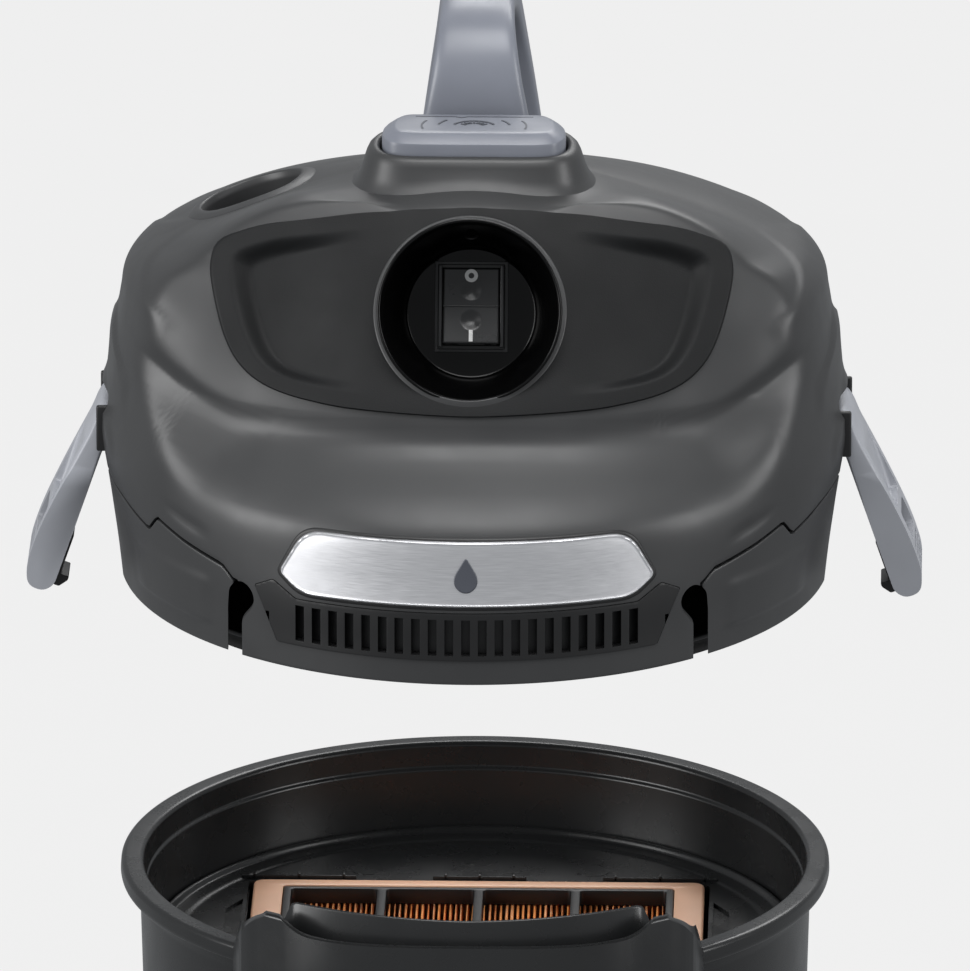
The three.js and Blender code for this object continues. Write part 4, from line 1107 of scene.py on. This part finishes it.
# ---------------------------------------------------------------- head: underside and inside
def underside():
    plate = lathe("base_plate", [
        (61, 4), (61, -33), (24, -33), (24, -36), (64, -36), (64, 1), (147, 1), (147, -7), (150, -7),
        (150, 1), (156, 1), (156, 4),
    ], HEAD, 1.2)
    pockets = [block(f"plate_pocket_{s}", (155, -30.5, -20), (200, 30.5, 90), turned(HEAD, a), 0)
               for s, a in enumerate((0, math.pi))]
    cut(plate, *pockets)
    settle(plate, "head", BLACK, "head_base_plate")
    gasket = lathe("gasket", [
        (150.3, -6.5), (152.4, -6.5), (153, -4), (152.2, -1.6), (153, 0.4), (150.3, 0.4),
    ], HEAD, 0.5)
    settle(gasket, "head", RUBBER, "head_gasket")
    cage = lathe("cage", [
        (6, -38), (23.6, -38), (23.6, -12), (8, -12), (8, -14), (21.4, -14), (21.4, -36), (6, -36),
    ], HEAD, 0.7, 96)
    windows = [block(f"cage_window_{i}", (-40, -7, -31), (40, 7, -17), turned(HEAD, i * math.pi / 2), 1.5)
               for i in range(2)]
    cut(cage, *windows)
    settle(cage, "head", BLACK, "float_cage")
    settle(ball("float", 10, moved(HEAD, z=-27.5)), "float", GREY, "float_ball")
    for index, angle in enumerate((45, 135, 225, 315)):
        place = moved(turned(HEAD, math.radians(angle)), x=130)
        screw = lathe(f"screw_{index + 1}", [
            (0, -2.2), (2.6, -2.2), (4, -0.8), (4, 0.7), (1.9, 0.7), (1.9, 14), (0, 15),
        ], place, 0.4, 48)
        cut(screw, block("screw_slot", (-3, -0.5, -4), (3, 0.5, -1.2), place, 0),
            block("screw_cross", (-0.5, -3, -4), (0.5, 3, -1.2), place, 0))
        settle(screw, "head", STEEL, f"base_screw_{index + 1}")


def cord_gland():
    place = turned(moved(HEAD, z=34), -math.pi / 2, "X")
    sleeve = lathe("gland", [
        (4.2, 160), (8, 160), (8, 172.5), (11, 172.5), (11, 175.5), (8, 177), (7, 184), (4.2, 184),
    ], place, 0.8, 72)
    grooves = []
    for index in range(3):
        low = 178 + 1.8 * index
        high = 178.8 + 1.8 * index
        groove = [(6.9, low), (12, low), (12, high), (6.9, high)]
        grooves.append(lathe(f"gland_groove_{index}", groove, place, 0.1, 72))
    cut(sleeve, *grooves)
    settle(sleeve, "head", RUBBER, "cord_gland")


def button_works():
    """The spring, plunger and valve under the cleaning button."""
    place = moved(HEAD, y=BUTTON_MIDDLE)
    low, high, turns = 172.3, 194.7, 4
    path = []
    for t in np.linspace(0, 1, 161):
        angle = 2 * math.pi * turns * t
        path.append((9 * math.cos(angle), 9 * math.sin(angle), low + (high - low) * t))
    wire = 0.8
    spring = settle(tube("spring", path, wire, place), "head", STEEL, "button_spring")
    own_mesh(spring)
    plunger = rod("plunger", 4, 148, 195.7, place, 0.6, 64)
    settle(plunger, "button", BLACK, "button_plunger")
    valve = lathe("valve", [(0, 140), (15, 140), (18, 143), (18, 146), (6, 147.7), (0, 147.7)], place, 1, 96)
    settle(valve, "button", RUBBER, "valve_disc")


def tube(name, path, radius, place):
    """A round wire along a path."""
    path = np.array(path, float)
    along = np.gradient(path, axis=0)
    along /= np.linalg.norm(along, axis=1)[:, None]
    rows = []
    for point, way in zip(path, along):
        side = np.cross(way, [0, 0, 1])
        side /= np.linalg.norm(side)
        up = np.cross(side, way)
        angles = np.linspace(0, 2 * math.pi, 12, endpoint=False)
        rows.append([point + radius * (math.cos(a) * side + math.sin(a) * up) for a in angles])
    return grid(name, rows, place, cap=(True, True))


# ---------------------------------------------------------------- latches
def latch(side_name, sign):
    """One side's lever with its claw, in its open place, and the bracket and pin that carry it."""
    base = turned(HEAD, 0 if sign > 0 else math.pi)
    pivot = moved(base, x=LATCH_PIVOT[0], z=LATCH_PIVOT[1])
    across = turned(pivot, math.pi / 2, "X")
    swing = turned(pivot, -LATCH_OPEN, "Y")
    side_on = turned(swing, math.pi / 2, "X")
    body = f"{side_name}_latch"
    reach = 88
    outline = softened([
        (-1, -12), (-1, -reach + 4), (3, -reach - 0.4), (10.6, -reach), (14.2, -reach + 9),
        (14.6, -reach + 26), (11.4, -34), (7.4, -8), (7, 0), (5.5, 5.2), (0, 7.2), (-5.4, 5.2), (-7, 0),
        (-5, -6),
    ], [3, 3, 3, 4, 6, 12, 16, 3, 3, 3, 3, 3, 3, 3])
    lever = slab(f"lever_{side_name}", outline, -23, 23, side_on, 1.4, 4)
    cut(lever, tapered_cutter(swing, reach))
    cut(lever, block("lever_window", (-20, -13, -reach + 23), (30, 13, -reach + 37), swing, 2.5, 4))
    cut(lever, block("lever_panel", (8.4, -16, -47), (30, 16, -14), swing, 2, 4))
    cut(lever, rod("lever_bore", PIN_BORE, -40, 40, across, segments=48))
    teeth = []
    for index in range(5):
        low = -reach + 5.4 + 3.3 * index
        high = -reach + 7 + 3.3 * index
        teeth.append(block(f"tooth_{index}", (12.4, -14, low), (30, 14, high), swing, 0.5))
    cut(lever, joined("lever_teeth", teeth))
    # The lever takes the grey plastic painted lighter, as painted light on its front faces.
    settle(lever, body, LATCH_GREY_PAINTED_LIGHT, f"latch_lever_{side_name}", sharp=34)
    grip = -LATCH_PIVOT[1] - 8 - 0.6 - 0.6
    claw_outline = softened([
        (-1.3, grip + 20), (-1.3, grip - 6), (-4, grip - 6), (-7, grip - 2), (-7, grip), (-2.8, grip),
        (-2.8, grip + 20),
    ], 0.7)
    claw = slab(f"claw_{side_name}", claw_outline, -10, 10, side_on, 0.4)
    settle(claw, body, BLACK, f"latch_claw_{side_name}")
    bracket = block(f"bracket_{side_name}", (158.3, -27, 5), (160.4, 27, 86), base, 0.5)
    for edge in (-26.7, 23.5):
        added(bracket, block("bracket_ear", (159.4, edge, 60), (174, edge + 3, 82), base, 1.0))
    cut(bracket, rod("bracket_bore", PIN_BORE, -40, 40, across, segments=48))
    settle(bracket, "head", BLACK, f"latch_bracket_{side_name}")
    pin = rod(f"pin_{side_name}", 2.2, -26.4, 26.4, across, 0.5, 48)
    settle(pin, "head", STEEL, f"latch_pin_{side_name}")


def tapered_cutter(swing, reach):
    """Trims both edges of a lever, so that it narrows towards its finger end."""
    wedges = []
    place = turned(turned(swing, math.pi / 2), math.pi / 2, "X")
    for sign in (-1, 1):
        outline = [(sign * 23.6, -10), (sign * 40, -10), (sign * 40, -reach - 10), (sign * 19.6, -reach - 10)]
        wedges.append(slab(f"wedge_{sign}", outline, -40, 40, place, 0))
    return joined("lever_wedges", wedges)


# ---------------------------------------------------------------- container
def container_body():
    under = RIM_TOP - 8
    ledge = DECK_TOP - 5.5
    wall = lathe("tank", [
        (0, TANK_FLOOR), (140, TANK_FLOOR), (147, TANK_FLOOR + 4), (150, TANK_FLOOR + 12), (156, under - 8),
        (157.5, under), (RIM_RADIUS - 0.6, under), (RIM_RADIUS, under + 2), (RIM_RADIUS - 0.3, RIM_TOP - 1.2),
        (RIM_RADIUS - 2, RIM_TOP), (155.5, RIM_TOP), (154, RIM_TOP - 1.5), (153.6, RIM_TOP - 12),
        (152.2, RIM_TOP - 13), (151.4, ledge), (147.6, ledge), (147.6, ledge - 5), (150.4, ledge - 12),
        (147.4, TANK_FLOOR + 13), (145, TANK_FLOOR + 6), (139, TANK_FLOOR + 2.6), (0, TANK_FLOOR + 2.6),
    ], BASE, 0.9, 240)
    cut(wall, rod("hose_hole", HOSE_HOLE, 120, 230, HOSE, segments=96))
    settle(wall, "container", TANK, "container_body")


def base_chassis():
    skirt = lathe("chassis", [
        (134, 41), (156, 41), (158, 43), (157.5, 66), (150.6, 66), (150.3, 56), (147, 48.4), (141, 43.5),
        (134, 42.8),
    ], BASE, 0.7, 200)
    settle(skirt, "container", BLACK, "base_chassis")
    for name, angle in CORNERS.items():
        place = moved(turned(BASE, math.radians(angle)), x=CASTER_RING)
        shape = [(5.8, 41), (24, 41), (26, 43), (25, 56), (21, 60), (5.8, 60)]
        pod = lathe(f"pod_{name}", shape, place, 1.6, 96)
        space = [(0, 30), (141, 30), (147.6, 47.4), (150.6, 55.6), (152, 90), (0, 90)]
        cut(pod, lathe("pod_clearance", space, BASE, 0, 200))
        settle(pod, "container", BLACK)


def caster(name, angle):
    turn = math.radians(angle)
    place = moved(BASE, CASTER_RING * math.cos(turn), CASTER_RING * math.sin(turn))
    keep_node(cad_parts[f"caster_fork_{name}"], BLACK, 0.5)
    axle = turned(moved(place, 14, 0, 17.5), math.pi / 2, "X")
    wheel = lathe(f"wheel_{name}", [
        (0, -5.6), (6, -5.6), (7, -7), (12.6, -7), (15.6, -6.4), (17.5, -4.2), (17.5, 4.2), (15.6, 6.4),
        (12.6, 7), (7, 7), (6, 5.6), (0, 5.6),
    ], axle, 0.7, 96)
    settle(wheel, f"wheel_{name}", RUBBER, f"caster_wheel_{name}")
    pin = rod(f"wheel_axle_{name}", 2.2, -10.2, 10.2, axle, 0.4, 36)
    settle(pin, f"wheel_{name}", BLACK)


def keep_node(obj, material, bevel=0.4):
    """A frame node that is shown as it is, with its own material and eased edges."""
    obj.data.materials.clear()
    obj.data.materials.append(material)
    eased(obj, bevel, 2, 50)


# ---------------------------------------------------------------- hose inlet and its fairing
def fairing_outline(inset):
    """The fairing in plan, as (x, y) from the right rear round the front to the left rear."""
    half = 108.5 - inset
    right = [(half, -92), (half, -130), (half - 4, -148 + inset / 2), (half - 22, -161 + inset)]
    right += [(62, -177 + inset), (34, -182.4 + inset)]
    return softened(right + mirrored(right), [0, 14, 12, 14, 22, 26, 26, 22, 14, 12, 14, 0], steps=7)


def inlet_fairing():
    """The housing in front of the container: a front lip, two ears, and a channel in front of a back lip."""
    bottom, front, ears, shelf = 172, RIM_TOP + 20.5, RIM_TOP + 27, RIM_TOP - 5
    body = slab("fairing", fairing_outline(0), bottom, ears, BASE, 1.2)
    cut(body, slab("fairing_channel", fairing_outline(3.6), shelf, 400, BASE, 0))
    cut(body, slab("fairing_hollow", fairing_outline(3.6), 100, shelf - 3, BASE, 0))
    facing = front_on(BASE, -60)
    dip = softened([
        (-77, front), (-87, ears + 1), (-87, 400), (87, 400), (87, ears + 1), (77, front),
    ], [6, 0, 0, 0, 0, 6])
    cut(body, slab("front_dip", dip, 0, 140, facing, 0))
    for sign in (-1, 1):
        ear = softened([
            (sign * 122, 400), (sign * 86, 400), (sign * 91, ears - 0.2), (sign * 99, ears - 5),
            (sign * 104.5, ears - 13), (sign * 109.5, ears - 34), (sign * 122, ears - 34),
        ], [0, 0, 4, 4, 4, 0, 0])
        cut(body, slab("ear_trim", ear, 0, 140, facing, 0))
    space = [
        (0, TANK_FLOOR - 1), (150.4, TANK_FLOOR - 1), (150.4, TANK_FLOOR + 12), (156.4, RIM_TOP - 16),
        (157.9, RIM_TOP - 8.4), (RIM_RADIUS + 0.4, RIM_TOP - 8.4), (RIM_RADIUS + 0.4, RIM_TOP + 60),
        (0, RIM_TOP + 60),
    ]
    cut(body, lathe("tank_space", space, BASE, 0, 240),
        rod("inlet_hole", HOSE_HOLE, 120, 230, HOSE, segments=96))
    settle(rounded(body, 0.5, 2, 48), "container", TANK, "inlet_fairing")
    back_lip()
    tube_profile = [
        (24, 148), (27, 148), (27, 184.6), (34, 184.6), (34, 188.4), (33, 189), (26, 189), (24, 187),
    ]
    settle(lathe("inlet_collar", tube_profile, HOSE, 0.7, 120), "container", BLACK, "hose_inlet_collar")
    ring = lathe("inlet_thread", [(23.2, 176), (24.2, 175.4), (24.2, 178.6), (23.2, 178)], HOSE, 0.2, 120)
    settle(ring, "container", BLACK)


def back_lip():
    """The thin upright wall behind the channel, whose ends slope down."""
    half = math.radians(31.5)
    top = RIM_TOP + 29.5
    rows = []
    inner, outer = RIM_RADIUS + 0.6, RIM_RADIUS + 2.3
    for angle in np.linspace(-half, half, 72):
        near_end = abs(angle) / half
        level = top - 15 * smoothstep(near_end, 0.9, 1.0) - 1.4 * (1 - near_end)
        section = [(inner, RIM_TOP - 6), (outer, RIM_TOP - 6), (outer, level - 0.8), (outer - 0.6, level),
                   (inner + 0.6, level), (inner, level - 0.8)]
        rows.append([(r * math.sin(angle), -r * math.cos(angle), z) for r, z in section])
    settle(grid("fairing_lip", rows, BASE, cap=(True, True)), "container", TANK, sharp=60)


# ---------------------------------------------------------------- filter deck and cartridge
def deck_rectangle(grow, reach):
    x, front, back = FILTER_HALF + grow, FILTER_FRONT - grow, FILTER_BACK + grow
    return softened([(-x, front), (x, front), (x, back), (-x, back)], reach)


def filter_deck():
    seat = DECK_TOP - 3
    deck = lathe("deck", [
        (0, seat), (150.6, seat), (150.6, DECK_TOP + 4), (148.6, DECK_TOP + 4), (147.2, DECK_TOP + 1.6),
        (141, DECK_TOP + 0.9), (139, DECK_TOP), (0, DECK_TOP),
    ], BASE, 1.0, 240)
    cut(deck, slab("deck_opening", deck_rectangle(2.5, 5), 100, 400, BASE, 0),
        rod("deck_air_hole", 24, 200, 300, moved(BASE, y=-78), segments=96))
    pockets = []
    for sign in (-1, 1):
        outline = [(sign * 110.4, -22), (sign * 118, -13), (sign * 118, 44), (sign * 110.4, 58)]
        pockets.append(slab(f"pocket_{sign}", outline, DECK_TOP - 1.8, DECK_TOP + 9, BASE, 0))
    cut(deck, joined("deck_pockets", pockets))
    settle(deck, "container", TANK, "filter_deck")
    seal = lathe("seal", [
        (148, DECK_TOP - 5.2), (151, DECK_TOP - 5.2), (151, DECK_TOP - 3.3), (148, DECK_TOP - 3.3),
    ], BASE, 0.5, 200)
    settle(seal, "container", RUBBER, "deck_seal")
    for index, angle in enumerate((62, 90, 118)):
        place = moved(turned(BASE, math.radians(angle)), x=113)
        mark = lathe(f"ejector_mark_{index}", [
            (0, DECK_TOP - 0.2), (8, DECK_TOP - 0.2), (8, DECK_TOP + 0.25), (6.4, DECK_TOP + 0.1),
            (0, DECK_TOP + 0.1),
        ], place, 0.1, 72)
        settle(mark, "container", TANK)
    back, foot = FILTER_BACK + 5.2, DECK_TOP - 0.2
    for index, (start, end) in enumerate(((-112, -58), (-22, 22), (58, 112))):
        rail = block(f"deck_rail_{index}", (start, back, foot), (end, back + 0.9, DECK_TOP + 1.8), BASE, 0.3)
        settle(rail, "container", TANK)
        for tab in np.linspace(start + 6, end - 6, 3):
            low, high = (tab - 0.7, back, foot), (tab + 0.7, back + 4, DECK_TOP + 2.6)
            settle(block(f"deck_tab_{index}_{tab:.0f}", low, high, BASE, 0.3), "container", TANK)


def filter_cartridge():
    low = FILTER_TOP - 46
    rim = slab("filter_rim", deck_rectangle(0, 6), FILTER_TOP - 7, FILTER_TOP, BASE, 1.3, 4)
    skirt = slab("filter_skirt", deck_rectangle(-0.4, 6), low, FILTER_TOP - 5, BASE, 0.8)
    added(rim, skirt)
    cut(rim, slab("filter_core", deck_rectangle(-3, 3), low - 5, FILTER_TOP - 7, BASE, 0))
    half, front, back = 92, FILTER_FRONT + 10, FILTER_BACK - 8
    window = softened([(-half, front), (half, front), (half, back), (-half, back)], 3)
    cut(rim, slab("filter_window", window, low - 10, 400, BASE, 0))
    settle(rounded(rim, 0.5, 2, 50), "cartridge", COPPER, "filter_frame")
    filter_grid()
    filter_pleats()


def filter_grid():
    """The black grid over the pleats, with four cells."""
    low, high = FILTER_TOP - 8, FILTER_TOP - 0.4
    front, back = FILTER_FRONT + 10.3, FILTER_BACK - 8.3
    outer = block("grid", (-91.7, front, low), (91.7, back, high), BASE, 0.6)
    cells = []
    edges = (-88, -45.5, 0, 45.5, 88)
    for index, (start, end) in enumerate(zip(edges, edges[1:])):
        left = start + (0 if index == 0 else 2.2)
        right = end - (0 if index == 3 else 2.2)
        cell = softened([(left, front + 4), (right, front + 4), (right, back - 3.2), (left, back - 3.2)], 2)
        cells.append(slab(f"cell_{index}", cell, low - 9, high + 9, BASE, 0))
    cut(outer, joined("grid_cells", cells))
    settle(rounded(outer, 0.5, 2, 50), "cartridge", BLACK, "filter_grid")


def filter_pleats():
    """A zigzag sheet across the window, with a slightly uneven fold to fold height."""
    pitch, count = 2.63, 70
    bottom = FILTER_TOP - 30
    front, back = FILTER_FRONT + 7, FILTER_BACK - 5
    rng = np.random.default_rng(4)
    profile = []
    for fold in range(count + 1):
        x = (fold - count / 2) * pitch
        crest = FILTER_TOP - 8.2 + rng.uniform(-0.3, 0.3)
        if fold:
            profile.append((x - pitch / 2, bottom))
        profile += [(x - 0.45, crest - 0.5), (x, crest), (x + 0.45, crest - 0.5)]
    ways = np.linspace(front, back, 60)
    sway = np.cumsum(rng.uniform(-0.07, 0.07, (len(ways), len(profile))), axis=0) * 0.5
    rows = [[(x + sway[i][j], y, z) for j, (x, z) in enumerate(profile)] for i, y in enumerate(ways)]
    sheet = grid("pleats", rows, BASE, around=False)
    settle(applied(walled(sheet, 0.35)), "cartridge", PAPER, "filter_pleats", sharp=30)


# ---------------------------------------------------------------- pieces that stay as the frame has them
def kept_nodes():
    kept = {
        "switch_body": BLACK, "button_guide": BLACK, "inlet_deflector": BLACK, "filter_box": BLACK,
        "motor_housing": BLACK, "motor_stator": STEEL, "lower_bearing": STEEL, "upper_bearing": STEEL,
        "motor_rotor": STEEL, "fan_impeller": BLACK,
    }
    for node, material in kept.items():
        keep_node(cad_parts[node], material)


# ---------------------------------------------------------------- stage
LIGHT_AIM = Vector((0, 0, 0.45))


def area_light(name, azimuth, elevation, distance, size, power):
    """A soft box that looks at the object. Angles are in degrees, azimuth from the front."""
    light = bpy.data.lights.new(name, "AREA")
    light.shape = "RECTANGLE"
    light.size, light.size_y = size
    light.energy = power
    obj = bpy.data.objects.new(name, light)
    way = way_to(math.radians(azimuth), math.radians(elevation))
    obj.location = LIGHT_AIM + way * distance
    obj.rotation_mode = "QUATERNION"
    obj.rotation_quaternion = (-way).to_track_quat("-Z", "Y")
    obj.visible_camera = False
    bpy.context.scene.collection.objects.link(obj)


def make_stage():
    floor = make("floor", [(-40000, -40000, 0), (40000, -40000, 0), (40000, 40000, 0), (-40000, 40000, 0)],
                 [(0, 1, 2, 3)], Matrix.Identity(4))
    pale = moulded("pale_floor", (0.015, 0.015, 0.015), 1.0, 30, 0.02, specular_ior_level=0.0)
    shader = pale.node_tree.nodes["Principled BSDF"]
    shader.inputs["Emission Color"].default_value = (1, 1, 1, 1)
    shader.inputs["Emission Strength"].default_value = 0.85
    floor.data.materials.append(pale)
    floor.visible_glossy = False
    floor.visible_diffuse = False
    world = bpy.data.worlds.new("studio")
    world.use_nodes = True
    world.node_tree.nodes["Background"].inputs["Color"].default_value = (0.94, 0.97, 1, 1)
    world.node_tree.nodes["Background"].inputs["Strength"].default_value = 0.34
    bpy.context.scene.world = world
    area_light("left_box", -64, 20, 2.2, (1.1, 1.5), 36)
    area_light("right_box", 70, 20, 2.4, (0.8, 1.5), 24)
    area_light("top_box", 8, 72, 2.2, (1.5, 1.1), 32)
    area_light("back_box", 165, 40, 2.6, (1.8, 0.8), 26)
    bpy.context.scene.view_settings.view_transform = "Standard"


# ---------------------------------------------------------------- assembly
make_camera()
for build in (
    head_shell, side_skirts, shield_panel, switch_dish, rocker_bezel, power_rocker, exhaust_grille,
    name_plate, cleaning_button, button_collar, accessory_socket, handle, underside, cord_gland, button_works,
):
    build()
for side_name, sign in SIDES:
    latch(side_name, sign)
container_body()
base_chassis()
for corner_name, corner_angle in CORNERS.items():
    caster(corner_name, corner_angle)
for build in (inlet_fairing, filter_deck, filter_cartridge, kept_nodes, make_stage):
    build()

bpy.context.view_layer.update()
